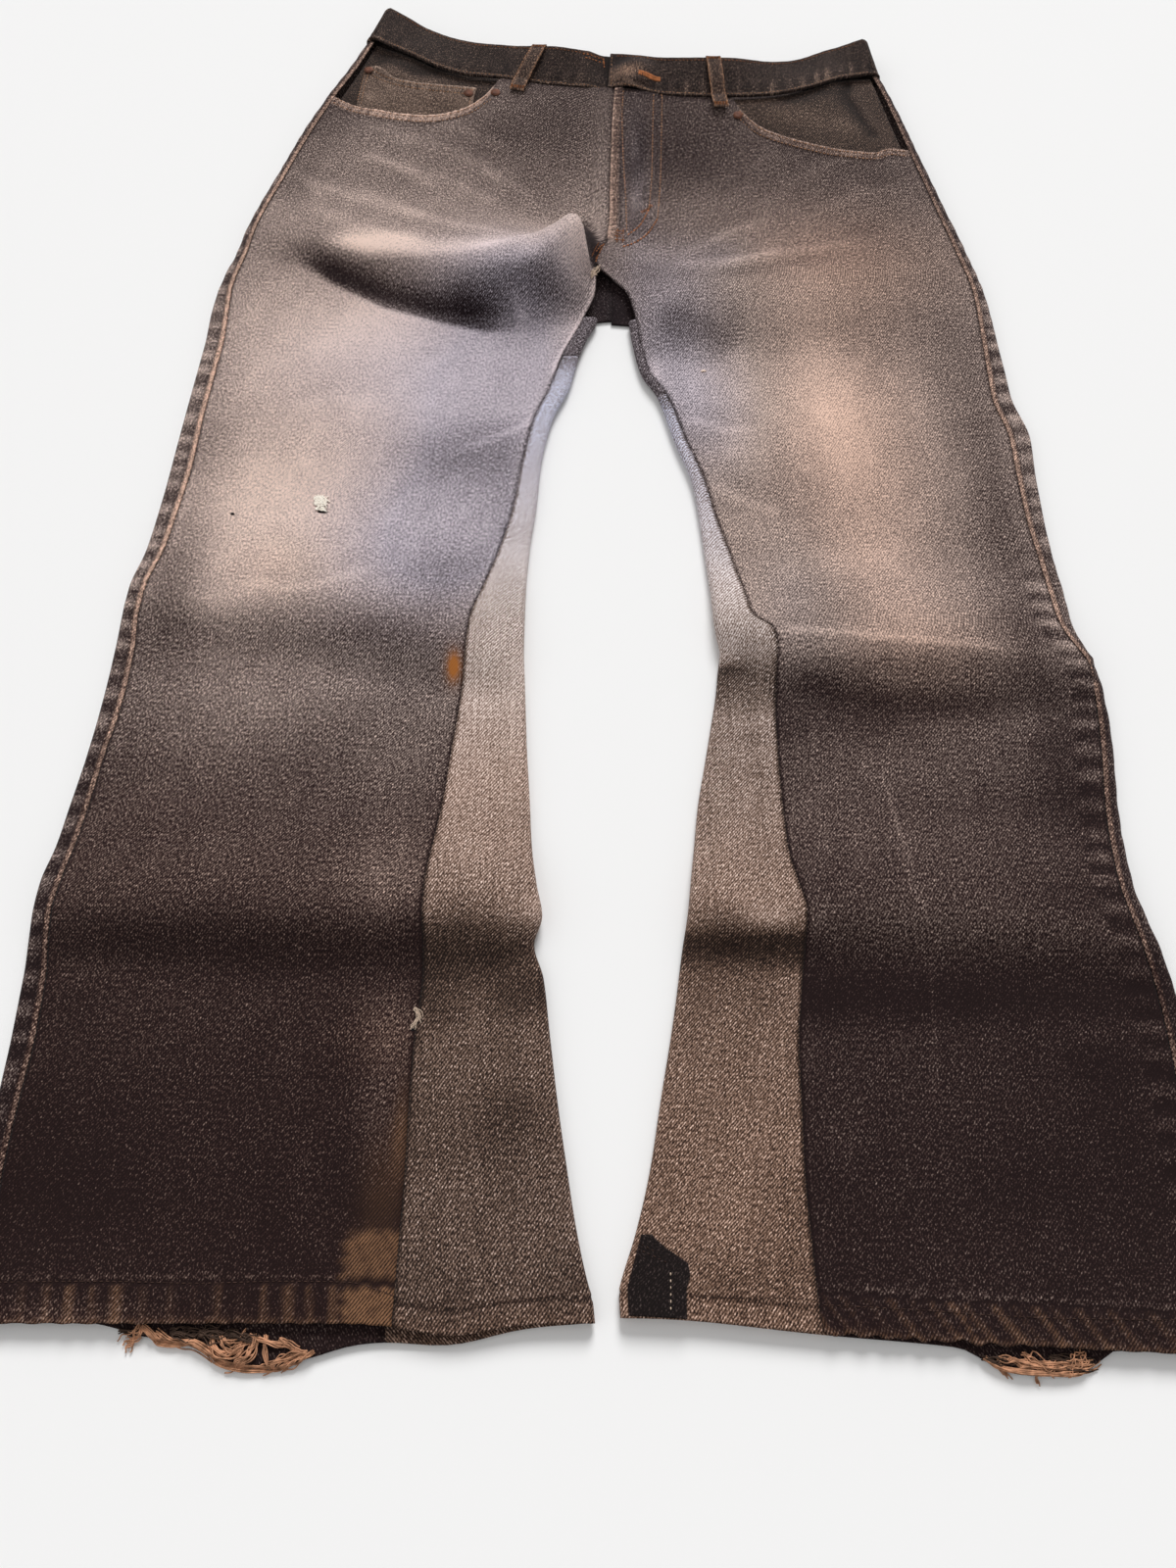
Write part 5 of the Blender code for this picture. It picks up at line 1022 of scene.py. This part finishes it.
def back_band_places():
    """Round both ends of the waist from the outseams on top, and flat on the floor between them."""
    sides = []
    for leg in (RIGHT, LEFT):
        outseam, outer = (float(curve_at(table, WAIST_ROW)) for table in (leg.outseams, leg.outers))
        low, _ = band_places(outseam, 0.0)
        lean, rise = float(waist_at(outseam, 3)), float(waist_at(outseam, 4))
        up = math.sqrt(BAND_WIDTH ** 2 - lean ** 2 - rise ** 2)
        half = (low[2] - SEAT_LIFT) / 2
        turn, share = FOLD_TURN[:, None], UP_THE_BAND[None, :]
        x = outseam - leg.sign * np.cos(turn) * abs(outer - outseam) + lean * share
        y = low[1] + up * share + 0 * turn
        z = SEAT_LIFT + half + half * np.sin(turn) + rise * share * (1 + np.sin(turn)) / 2
        sides.append(np.stack(np.broadcast_arrays(x, y, z), axis=-1))
    x = np.linspace(sides[0][-1, 0, 0], sides[1][-1, 0, 0], 90)[1:-1, None]
    row, lean = np.full(x.shape, WAIST_ROW), waist_at(x, 3)
    low = np.where(x < CENTRE_SEAM, RIGHT.floor_y(row, x), LEFT.floor_y(row, x))
    y = low + np.sqrt(BAND_WIDTH ** 2 - lean ** 2) * UP_THE_BAND
    flat = np.stack(np.broadcast_arrays(x + lean * UP_THE_BAND, y, SEAT_LIFT), axis=-1)
    return np.concatenate((sides[0], flat, sides[1][::-1])).transpose(1, 0, 2)


bands = {}
for name, ends in (("waistband_right", (-197, 60)), ("waistband_left", (18, 257.5)), ("waistband_back", None)):
    if ends:
        x = rows_between(*ends, 2.2, first=(6, 1.0), last=(6, 1.0))
        places, face = band_places(x[None, :], UP_THE_BAND[:, None])
        if name == "waistband_right":
            places = places - face * (3.4 * ease(places[..., :1] / 14))
        else:
            middle, _ = band_places(*BUTTON_AT)
            away = np.hypot(places[..., 0] - middle[0], places[..., 1] - middle[1])
            places = places + face * (4.4 * (1 - ease((away - 8.5) / 15)))[..., None]
    else:
        places = back_band_places()
    cloth = Cloth(f"{name}_cloth", places, (0, 0, 1 if ends else -1))
    unevenness(cloth, 91 + len(name), height=0.25, patch=14)
    dab = uneven(cloth.first, 12, 97)
    cloth.worn += 0.16 + 0.12 * dab * within(cloth.foot, 3, 12, 3) + 0.05 * uneven(cloth.first, 5, 99)
    cloth.worn += 0.10 * bell(cloth.head, 0.8, 1.2) + 0.26 * bell(cloth.foot, 1.2, 1.1)
    cloth.lift += 0.25 * bell(cloth.foot, 1.2, 1.2) - 0.3 * bell(cloth.foot, 4.5, 1.2)
    cloth.lift += 0.2 * uneven(cloth.first, 9, 98) * (within(cloth.foot, 1, 7, 2) + within(cloth.head, 1, 7, 2))
    cloth.cool -= 0.35 * bell(cloth.head, 1.5, 2)
    if name == "waistband_left":
        cloth.worn += 0.28 * np.maximum(dab, 0) * within(cloth.foot, 4, 15, 3) * within(cloth.x, 84, 240, 14)
        bump = cloth.spot(35, 1012, 14, 9)                  # over the button
        # the dark spot above the button is painted shade in the wrinkle there
        cloth.worn += 0.46 * bump - 0.26 * cloth.spot(29, 1028, 13, 6)
        cloth.worn += 0.26 * cloth.line(((24, 1006), (30, 1003), (44, 997), (58, 991)), 1.8)
        cloth.cool -= 0.5 * bump
        cloth.worn += 0.20 * (bell(cloth.side, 0, 1.6) * (cloth.x < 40))
    if name == "waistband_right":
        # where the left end laps over it, the right band is darkened as painted shade
        cloth.worn -= 0.35 * within(cloth.x, 16.5, 60, 2)
    cloth.made(band_denim, "band_denim", name, "yoke_left" if name == "waistband_left" else "yoke_right",
               thick=BAND_CLOTH)
    bands[name] = cloth

# ==== Belt loops ============================================================================================
# Strips of the band's denim folded in three and tacked down over it with close thread at both ends, two on the
# front and three behind.  Their edges have worn tan.
LOOP_WIDTH, LOOP_HANG, LOOP_CLOTH = 13.0, 15.0, 1.8
# Each front loop's x at its top and its foot, and each back loop's x.
FRONT_LOOPS = (("belt_loop_front_right", -49, -59), ("belt_loop_front_left", 110, 115))
BACK_LOOPS = (("belt_loop_back_right", -118), ("belt_loop_back_centre", 19), ("belt_loop_back_left", 168))
LOOP_ACROSS = np.array((-0.5, -0.46, -0.38, -0.25, -0.1, 0.1, 0.25, 0.38, 0.46, 0.5))


def front_loop_places(top_x, foot_x):
    """Down over the band and on below it, arched a little off both."""
    share = np.linspace(-0.02, 1 + LOOP_HANG / BAND_WIDTH, 44)[:, None]
    x = top_x + (foot_x - top_x) * share + LOOP_WIDTH * LOOP_ACROSS
    on_band, face = band_places(x, np.clip(1 - share, 0, 0.985))
    below = np.maximum(share - 1, 0) * BAND_WIDTH
    y = on_band[..., 1] - below
    height = np.where(below > 0, np.maximum(top_height(x, y) + BAND_PROUD, on_band[..., 2]), on_band[..., 2])
    arch = 1.9 * np.sin(np.pi * np.clip(share, 0, 1)) + 0.5 * np.sin(np.pi * np.clip((share - 1) / 0.39, 0, 1))
    face = np.where(below[..., None] > 0, (0, 0, 1), face)
    proud = (LIGHT_CLOTH + LAYER + 0.7 + arch)[..., None]
    return (np.stack((on_band[..., 0], y, height), axis=-1) + face * proud)[::-1]


loops = {}
for name, top_x, foot_x in FRONT_LOOPS:
    cloth = Cloth(f"{name}_cloth", front_loop_places(top_x, foot_x), (0, 0, 1))
    rope = uneven(cloth.foot, 5, 101)
    edge = bell(cloth.side, 0.8, 1.1)
    cloth.worn += 0.34 + edge * (0.26 + 0.10 * rope) + 0.25 * bell(cloth.foot, 0, 1.5)
    cloth.lift += 0.25 * edge
    cloth.cool -= 0.6 * edge + 0.2
    cloth.made(band_denim, "band_denim", name, "waistband_right" if foot_x < 0 else "waistband_left",
               thick=LOOP_CLOTH)
    loops[name] = cloth
for name, x in BACK_LOOPS:
    leg = RIGHT if x < CENTRE_SEAM else LEFT
    middle = float(leg.floor_y(np.array(WAIST_ROW), np.array(float(x))))
    y = np.linspace(middle - 12, middle + BAND_WIDTH - 1, 30)[:, None]
    press = 0.15 + 0.25 * np.sin(np.pi * (y - y[0]) / (y[-1] - y[0]))
    places = np.stack(np.broadcast_arrays(x + LOOP_WIDTH * LOOP_ACROSS, y, 0.3 - press * 0.4), axis=-1)
    cloth = Cloth(f"{name}_cloth", places, (0, 0, -1))
    cloth.worn += 0.36 + 0.2 * bell(cloth.side, 0.8, 1.1)
    cloth.made(band_denim, "band_denim", name, "waistband_back", thick=LIGHT_CLOTH)
    loops[name] = cloth

# ==== Back pockets ==========================================================================================
# Patch pockets with a pointed foot, cut from the same denim and sewn round, with their mouths turned down.
# They lie hidden under the seat.
POCKET_TALL, POCKET_POINT = 128, 22
POCKET_FOOT = (112, 800)            # from the centre seam, and up
pockets = {}
for leg, seed in ((RIGHT, 111), (LEFT, 113)):
    lean = math.radians(4.0) * leg.sign
    u, v = np.linspace(-1, 1, 50)[None, :], np.linspace(0, 1, 50)[:, None]
    across = u * (74 + 2 * v)
    up = -POCKET_POINT * (1 - np.abs(u)) * (1 - v) + POCKET_TALL * v
    x = CENTRE_SEAM - leg.sign * POCKET_FOOT[0] + across * math.cos(lean) - up * math.sin(lean)
    y = POCKET_FOOT[1] + across * math.sin(lean) + up * math.cos(lean)
    places = np.stack(np.broadcast_arrays(x, y, LAYER), axis=-1)
    cloth = Cloth(f"back_pocket_{leg.name}_cloth", places, (0, 0, -1))
    cloth.worn += 0.50 + 0.18 * bell(cloth.edge, 1, 1.5) + 0.10 * cloth.spot(x.mean(), y.mean(), 50, 50)
    cloth.worn += 0.06 * uneven(cloth.foot + cloth.first, 11, seed) * within(cloth.edge, 1, 9, 3)
    cloth.made(washed_denim, "washed_denim", f"back_pocket_{leg.name}", f"back_{leg.name}", thick=1.0)
    pockets[leg.name] = cloth

# ==== Corner patch ==========================================================================================
# A scrap of nearly black denim with a slanting top is sewn over the inner corner of the left hem.  A pale
# running stitch goes up its side.
PATCH_WIDTH = ((0, 33), (22, 34), (28, 31), (36, 15), (42, 6))     # height over the hem, and width there
height, share = np.linspace(0, PATCH_WIDTH[-1][0], 40)[:, None], np.linspace(0.02, 1, 34)[None, :]
start = curve_at(LEFT.inners, height) + FOLD_REACH
across = np.interp(height, *zip(*PATCH_WIDTH)) * share
patch_y = height + 4 + curve_at(LEFT.tilts, height) / (curve_at(LEFT.outers, height) - start) * across
places = np.stack((start + across, patch_y, top_height(start + across, patch_y)), axis=-1)
cloth = Cloth("corner_patch_cloth", places + np.array((0, 0, LAYER + LIGHT_CLOTH + 0.2)), (0, 0, 1))
cloth.worn += -0.08 + 0.13 * bell(cloth.last, 0, 1.5) + 0.06 * bell(cloth.head, 0, 1.5)
cloth.lift += 0.3 * uneven(cloth.foot, 7, 121) * bell(cloth.last, 0, 3)
cloth.cool += 0.5
cloth.made(facing_denim, "patch_denim", "patch_left", "wedge_left", thick=LIGHT_CLOTH)
patch = cloth

# ==== Stitching =============================================================================================
# Thick topstitching thread, once orange and now faded to tan, sewn through the layers a few millimetres apart.
# Dark brown thread closes the hems, and every stitch is a small bead lying half sunk in the cloth.


def thread_look(name, colour, uneven_by):
    """Matt thread, flecked lighter and darker by a share of its colour."""
    look, nodes, links, shader = blank_look(name)
    place = nodes.new("ShaderNodeTexCoord")
    fleck = set_on(nodes.new("ShaderNodeTexNoise"), Scale=260.0, Detail=2.0)
    ramp = nodes.new("ShaderNodeValToRGB")
    for stop, spot, change in zip(ramp.color_ramp.elements, (0.3, 0.7), (1 - uneven_by, 1 + uneven_by)):
        stop.position, stop.color = spot, (*[min(part * change, 1) for part in colour], 1)
    links.new(place.outputs["Object"], fleck.inputs["Vector"])
    links.new(fleck.outputs["Fac"], ramp.inputs["Fac"])
    links.new(ramp.outputs["Color"], shader.inputs["Base Color"])
    set_on(shader, Roughness=0.85, Specular_IOR_Level=0.1)
    return look


tan_thread = thread_look("tan_thread", (0.36, 0.185, 0.098), 0.55)
rust_thread = thread_look("rust_thread", (0.26, 0.095, 0.036), 0.45)
orange_thread = thread_look("orange_thread", (0.46, 0.170, 0.066), 0.4)
brown_thread = thread_look("brown_thread", (0.050, 0.028, 0.022), 0.5)
pale_thread = thread_look("pale_thread", (0.52, 0.40, 0.31), 0.3)


def smooth_path(points, step):
    """Places a step apart along a smooth curve through the points."""
    points = np.array(points, float)
    run = np.concatenate(([0], np.cumsum(np.linalg.norm(np.diff(points, axis=0), axis=1))))
    at = np.linspace(0, run[-1], max(2, round(run[-1] / step) + 1))
    return np.stack([curve_at(list(zip(run, points[:, n])), at) for n in range(points.shape[1])], axis=-1)


def placed(name, mesh, look, replaced=None):
    """A finished mesh takes its place in the jeans."""
    mesh.name = name
    mesh.shade_smooth()
    mesh.materials.clear()
    mesh.materials.append(look)
    piece = shown(name, mesh)
    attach(piece, "root")
    if replaced:
        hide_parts(replaced)


def sewn(name, look, runs, long=2.3, gap=1.1, thick=0.36, seed=5):
    """Runs of stitches, each a cloth and the line they follow on it.  long, gap and thick are one stitch's."""
    chance = np.random.default_rng(seed)
    whole, mesh = bmesh.new(), bpy.data.meshes.new(name)
    for cloth, path in runs:
        spots = [cloth.dropped(tuple(spot)) for spot in smooth_path(path, long + gap)]
        beads = bmesh.new()
        for (start, start_face), (end, end_face) in zip(spots, spots[1:]):
            along, face = end - start, (start_face + end_face).normalized()
            length = along.length
            if length < 0.3 or length > 3 * (long + gap):
                continue
            side = face.cross(along).normalized()
            along.normalize()
            turned = Matrix((along, side, side.cross(along) * -1)).transposed().to_4x4()
            stout = thick * chance.uniform(0.8, 1.15)
            reach = min(long, length) * chance.uniform(0.42, 0.54)
            middle = (start + end) / 2 + face * 0.12 - Vector((ACROSS, ALONG, 0))
            middle.z = max(middle.z, stout)                 # clear of the table
            bmesh.ops.create_uvsphere(beads, u_segments=6, v_segments=4, radius=0.001, matrix=(
                Matrix.Translation(middle / 1000) @ turned @ Matrix.Diagonal((reach, stout, stout * 0.8, 1))))
        beads.to_mesh(mesh)
        beads.free()
        whole.from_mesh(mesh)
    whole.to_mesh(mesh)
    whole.free()
    placed(name, mesh, look)


def beside(path, away):
    """The same line, moved sideways."""
    path = np.array(path, float)
    step = np.gradient(path, axis=0)
    step /= np.linalg.norm(step, axis=1, keepdims=True)
    return path + np.stack((-step[:, 1], step[:, 0]), axis=-1) * away


def along_band(start, end, share):
    """A line along the front band from x to x, at a share of the way up it."""
    x = np.linspace(start, end, max(3, round(abs(end - start) / 8)))
    return band_places(x, share)[0]


left, right, coin = fronts["left"], fronts["right"], facings["coin_pocket"]
band_left, band_right = bands["waistband_left"], bands["waistband_right"]
# The fly's curved rows, from the band down.
J_OUTER = ((66, 988), (64.5, 948), (62.4, 892), (58.7, 842), (49.3, 824), (36.8, 814), (28.6, 811))
J_INNER = ((58.4, 988), (56.8, 948), (54.8, 892), (51.5, 852), (42.9, 833), (32.8, 823))
sewn("stitches_fly", tan_thread, [
    (left, J_OUTER[:4]), (left, J_INNER[:4]),
    (left, ((31.5, 994), (30, 961), (30.5, 915), (32, 869), (32.5, 826)))], long=2.6, gap=0.8, thick=0.52)
sewn("stitches_fly_foot", orange_thread, [
    (left, J_OUTER[3:]), (left, J_INNER[3:])], long=2.6, gap=0.7, thick=0.7)
sewn("stitches_crotch", orange_thread, [
    (right, ((16, 812), (13, 806), (9, 797), (6, 787))),
    (right, ((13.5, 812), (10.5, 806), (6.5, 797)))], thick=0.5)
sewn("stitches_tacks", rust_thread, [
    *((left, path) for path in (
        ((54, 858), (49, 852), (44, 849)), ((55, 857), (50, 851), (45, 848)), ((22, 822), (28, 822)),
        ((22, 825), (29, 825)), ((23, 828), (30, 828)), ((24, 815), (25, 831)), ((29, 815), (30, 831)),
        ((22, 818), (31, 818)))),
    (right, ((13, 808), (10, 800), (6, 790))), (right, ((9, 810), (6, 800), (3, 790)))],
    long=2.0, gap=0.3, thick=0.5)
for leg, side in ((RIGHT, right), (LEFT, left)):
    sewn(f"stitches_pocket_{leg.name}", tan_thread, [
        (side, beside(leg.mouth[:-1], -leg.sign * away)) for away in (2.0, 7.5)], thick=0.42)
sewn("stitches_coin_pocket", tan_thread, [(coin, path) for path in (
    ((-196, 1031), (-173, 1011), (-136, 997), (-102, 990)),
    ((-197, 1025), (-173, 1005), (-136, 991), (-103, 984)),
    ((-205.5, 1028), (-208, 1005), (-209, 990)), ((-199.5, 1028), (-202, 1005), (-203, 985)),
    ((-102, 991), (-104, 980), (-105, 972)))])
sewn("stitches_waistband", rust_thread, [
    (band_right, along_band(-190, 12, 0.93)), (band_left, along_band(24, 250, 0.93))], thick=0.3)
sewn("stitches_band_end", orange_thread, [
    (band_right, along_band(-9, 14, 0.90)), (band_right, along_band(-6, 14, 0.80)),
    (band_right, ((14.5, 1031, 24), (15, 1022, 24)))], thick=0.5)
sewn("stitches_waistband_foot", tan_thread, [
    (band_right, along_band(-192, 12, 0.055)), (band_left, along_band(22, 254, 0.055)),
    (band_left, [*along_band(20, 20.5, 0.06), *along_band(19.8, 20.2, 0.9)])], thick=0.3)
sewn("stitches_buttonhole", orange_thread, [
    (band_left, (band_places(x, low)[0], band_places(x + 0.6, high)[0]))
    for x in np.arange(45, 64, 0.8) for low, high in ((0.31, 0.40), (0.37, 0.45))],
    long=3.4, gap=0.1, thick=0.55)
front_loops = [loops[name] for name, _, _ in FRONT_LOOPS]
sewn("stitches_loops", tan_thread, [
    (loop, loop.places[2:-2:3, column]) for loop in front_loops for column in (1, -2)], thick=0.4)
sewn("stitches_loop_tacks", rust_thread, [
    (loop, loop.places[row, 1:-1]) for loop in front_loops for row in (1, 2, 3, -3, -4)],
    long=2.2, gap=0.1, thick=0.5)
sewn("stitches_hem_fronts", brown_thread, [
    (right, ((-333, 21), (-276, 21.5), (-220, 20.5), (-171, 21.5), (-135, 21), (-108, 14))),
    (left, ((131, 9.5), (153, 8.5), (191, 6.5), (229, 4), (272, 2.5), (327, 2), (348, 3)))], long=2.8, gap=0.8)
sewn("stitches_hem_wedges", brown_thread, [
    (wedges["right"], ((-106, 13), (-88, 11), (-66, 10), (-44, 11), (-22, 14), (-4, 17))),
    (wedges["left"], ((56, 14), (77, 13), (110, 13), (128, 12)))], long=2.6, gap=1.0, thick=0.34)
sewn("stitches_patch", pale_thread, [(patch, ((46.5, 27), (46.3, 15), (46, 6)))], long=1.8, gap=2.0, thick=0.42)
sewn("stitches_patch_edge", brown_thread, [
    (patch, ((24, 40), (34, 36), (45, 31))), (patch, ((24, 44), (30, 41), (38, 37)))], long=1.8, gap=1.6)
for leg in (RIGHT, LEFT):
    yoke, pocket = backs["yoke", leg.name], pockets[leg.name]
    x = np.linspace(CENTRE_SEAM - leg.sign * 6, curve_at(leg.outers, YOKE_ROW) + leg.sign * 8, 20)
    seam = np.stack((x, leg.floor_y(np.full(20, YOKE_ROW), x) + 3), axis=-1)
    face = np.stack((pocket.x, pocket.y), axis=-1)
    sewn(f"stitches_back_{leg.name}", tan_thread, [
        (yoke, seam), (yoke, seam + (0, 6)), (pocket, face[:, 1]), (pocket, face[:, -2]), (pocket, face[1]),
        (pocket, face[-5])], thick=0.3)

# ==== Frayed hems ===========================================================================================
# The back hems have been walked on until they tore: faded thread hangs in loose bundles below the torn edge,
# over the dark cloth of the back hem, which is darkened further along the hem as painted shade.

# Each bundle: its line, how many, how far apart, and how far off the floor.
STRANDS = {
    "right": (
        (((-248, -1), (-251, -5), (-260, -10)), 7, 2.4, 3.0),
        (((-249, -2), (-252, -7), (-256, -13)), 5, 2.2, 3.0),
        (((-248, -2), (-244, -5), (-238, -10), (-228, -11), (-221, -9.5), (-211, -14), (-203, -20),
          (-195, -22), (-186, -23), (-174, -23), (-166, -20), (-157, -15.5)), 11, 1.5, 3.6),
        (((-240, -4), (-232, -9), (-222, -9), (-212, -13), (-200, -20)), 6, 1.6, 3.4),
        (((-209, -6), (-207, -12), (-199, -15), (-193, -13), (-190, -7)), 9, 1.8, 4.4),
        (((-205, -5), (-202, -10), (-197, -12), (-193, -10), (-188, -5)), 6, 1.4, 4.6),
        (((-179, -6), (-178, -16), (-174, -25)), 4, 1.3, 4.6),
        (((-184, -6), (-187, -15), (-193, -20), (-199, -23)), 8, 2.2, 4.2),
        (((-155, -15), (-160, -16), (-167, -18), (-175, -22), (-181, -25)), 8, 2.0, 4.0),
        (((-188, -6), (-177, -9), (-169, -11), (-160, -13)), 4, 1.4, 4.4),
        (((-152, -14), (-162, -20), (-172, -24)), 5, 1.6, 3.2),
        (((-171, -8), (-163, -12), (-156, -16)), 4, 1.2, 4.0)),
    "left": (
        (((219, -17), (225, -21), (232, -23), (248, -25), (264, -25), (276, -24), (286, -18)), 6, 1.2, 2.6),
        (((233, -18), (249, -20), (270, -19)), 6, 1.4, 3.0),
        (((238, -21), (257, -21), (279, -19)), 6, 1.4, 3.2),
        (((227, -20), (228, -23), (231, -27)), 4, 0.9, 2.4),
        (((246, -24), (247, -28), (248, -31)), 3, 0.8, 2.2),
        (((258, -19), (250, -24), (243, -25)), 5, 1.4, 3.0),
        (((240, -16), (246, -20), (252, -25)), 5, 3.0, 4.0),
        (((275, -16), (268, -19), (262, -24)), 5, 3.0, 4.0),
        (((226, -18), (234, -19), (240, -24)), 4, 2.4, 3.6))}
# Short dark threads over the torn edges, in the same way; their darkness also stands in for the shade there, as
# painted shade.
FUZZ = {
    "right": (
        (((-232, -4), (-224, -5), (-216, -4)), 9, 2.0, 4.0),
        (((-216, -5), (-206, -6), (-196, -5)), 12, 2.4, 4.5),
        (((-200, -6), (-190, -7), (-181, -7)), 9, 2.0, 4.0),
        (((-262, -4), (-254, -5), (-247, -3)), 6, 1.6, 3.0)),
    "left": (
        (((218, -18), (226, -18), (236, -17)), 6, 1.6, 2.6),
        (((255, -17), (268, -18), (280, -18)), 6, 1.6, 2.6))}


def loose_threads(name, look, bundles, under, replaced, stout, seed):
    """Bundles of loose threads, each wandering a little from its bundle's line, over what lies under them."""
    chance = np.random.default_rng(seed)
    tangle = bpy.data.curves.new(name, "CURVE")
    tangle.dimensions, tangle.use_fill_caps = "3D", True
    tangle.bevel_depth, tangle.bevel_resolution = stout / 1000, 1
    for path, count, apart, height in bundles:
        for _ in range(round(count * 1.4)):
            shift, swell = chance.normal(0, apart * 0.7, 2), chance.uniform(0.2, 1.0)
            line = smooth_path(beside(path, chance.normal(0, apart * 0.5)) if len(path) > 2 else path, 1.2)
            line = line[: max(4, round(len(line) * chance.uniform(0.75, 1.0)))]
            turn, beat = chance.uniform(0, 6.3), chance.uniform(3, 7)
            run = np.linspace(0, 1, len(line))
            x = line[:, 0] + shift[0] * ease(run * 2) + apart * 0.35 * np.sin(run * beat * 2 + turn)
            y = line[:, 1] + shift[1] * ease(run * 2) + apart * 0.35 * np.cos(run * beat * 2.3 + turn)
            z = under(x, y) + stout + height * swell * np.sin(np.pi * (0.15 + 0.8 * run)) * 0.5
            strand = tangle.splines.new("POLY")
            strand.points.add(len(line) - 1)
            for point, *spot in zip(strand.points, x - ACROSS, y - ALONG, z):
                point.co = (*[part / 1000 for part in spot], 1)
    drawn = shown(name + "_drawn", tangle)
    mesh = bpy.data.meshes.new_from_object(drawn)
    bpy.data.objects.remove(drawn)
    bpy.data.curves.remove(tangle)
    placed(name, mesh, look, replaced)


def over_the_hem(leg):
    """How high a thread lies: over the back hem's inside, or down on the table past its torn edge."""
    return lambda x, y: 2.7 * ease((y - leg.floor_y(np.zeros(x.shape), x) + 1.0) / 1.6) + 0.15


fray_thread = thread_look("fray_thread", (0.42, 0.215, 0.125), 0.5)
# dark brown thread, partly painted shade at the torn edges
fuzz_and_shade_thread = thread_look("fuzz_and_shade_thread", (0.055, 0.034, 0.025), 0.5)
loose_threads("fray_threads_right", fray_thread, STRANDS["right"], over_the_hem(RIGHT), "fray_right", 0.38, 131)
loose_threads("fray_threads_left", fray_thread, STRANDS["left"], over_the_hem(LEFT), "fray_left", 0.36, 133)
loose_threads("fuzz_right", fuzz_and_shade_thread, FUZZ["right"], over_the_hem(RIGHT), None, 0.35, 135)
loose_threads("fuzz_left", fuzz_and_shade_thread, FUZZ["left"], over_the_hem(LEFT), None, 0.35, 137)

# ==== Worn holes ============================================================================================
# A small hole on the right knee with a tuft of white crosswise threads and a nick beside it, a pinhole on the
# thigh, and a tear in the right wedge's seam.  Each opening is a flat near-black oval on the cloth, painted
# shade standing in for its dark inside.
# near-black painted shade for the inside of each hole
painted_hole_shade = thread_look("painted_hole_shade", (0.010, 0.008, 0.009), 0.2)
HOLES = (("knee_hole", -198.0, 546.5, 4.2, 1.5), ("knee_nick", -264.0, 543.0, 1.6, 1.4),
         ("seam_tear", -105.6, 172.0, 1.5, 3.2), ("seam_tear_foot", -107.5, 163.0, 1.4, 1.6),
         ("thigh_pin", -45.0, 763.0, 1.0, 1.0))            # x, y, half width and half height
for name, x, y, wide, tall in HOLES:
    spot, _ = right.dropped((x, y))
    hole = bmesh.new()
    middle = Matrix.Translation((spot - Vector((ACROSS, ALONG, 0))) / 1000)
    bmesh.ops.create_uvsphere(hole, u_segments=14, v_segments=6, radius=0.001,
                              matrix=middle @ Matrix.Diagonal((wide, tall, 0.30, 1)))
    placed(name, mesh_of(name, hole), painted_hole_shade)


def over_cloth(cloth):
    """How high a thread lies on this cloth."""
    return lambda x, y: np.array([cloth.dropped((float(a), float(b)))[0][2] for a, b in zip(x, y)])


white_thread = thread_look("white_thread", (0.95, 0.86, 0.76), 0.1)
loose_threads("knee_tuft", white_thread, (
    (((-205, 560), (-201, 556), (-196, 552)), 9, 2.0, 1.6),
    (((-204, 553), (-200, 555), (-195, 558)), 9, 2.0, 1.6),
    (((-203, 549), (-199, 549.5), (-195, 549)), 6, 1.6, 1.2),
    (((-200, 561), (-199, 557), (-199, 552)), 5, 2.0, 1.6)),
    over_cloth(right), None, 0.42, 141)
loose_threads("seam_tear_threads", pale_thread, (
    (((-107, 176), (-104, 172), (-103, 168)), 5, 1.0, 1.2),
    (((-104, 170), (-107, 166), (-108, 162)), 4, 1.0, 1.0)),
    over_cloth(right), None, 0.28, 143)
loose_threads("crotch_thread_end", pale_thread, (
    (((3, 775), (6, 779), (9, 784)), 5, 0.9, 1.0), (((3, 770), (5, 774), (8, 776)), 3, 0.8, 0.8)),
    over_cloth(right), None, 0.36, 145)
speck_thread = thread_look("thigh_speck", (0.85, 0.66, 0.55), 0.2)
loose_threads("thigh_speck", speck_thread, ((((90, 681), (92, 682), (94, 681)), 4, 0.6, 0.4),),
              over_cloth(left), None, 0.4, 147)

# ==== Button, rivets and zip ================================================================================
# Plain copper rivets gone dull brown, a shank button under the band and a zip strip under the fly, as they are
# in the CAD.


def metal_look(name, colour, metallic, rough):
    look = thread_look(name, colour, 0.4)
    set_on(look.node_tree.nodes["Principled BSDF"], Metallic=metallic, Roughness=rough)
    return look


worn_copper = metal_look("worn_copper", (0.095, 0.034, 0.018), 0.25, 0.6)
worn_brass = metal_look("worn_brass", (0.32, 0.22, 0.11), 0.8, 0.45)
zip_cloth = thread_look("zip_cloth", (0.05, 0.042, 0.040), 0.3)
for name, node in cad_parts.items():
    for start, look in (("rivet", worn_copper), ("button", worn_brass), ("zip_strip", zip_cloth)):
        if name.startswith(start):
            node.data.materials.clear()
            node.data.materials.append(look)
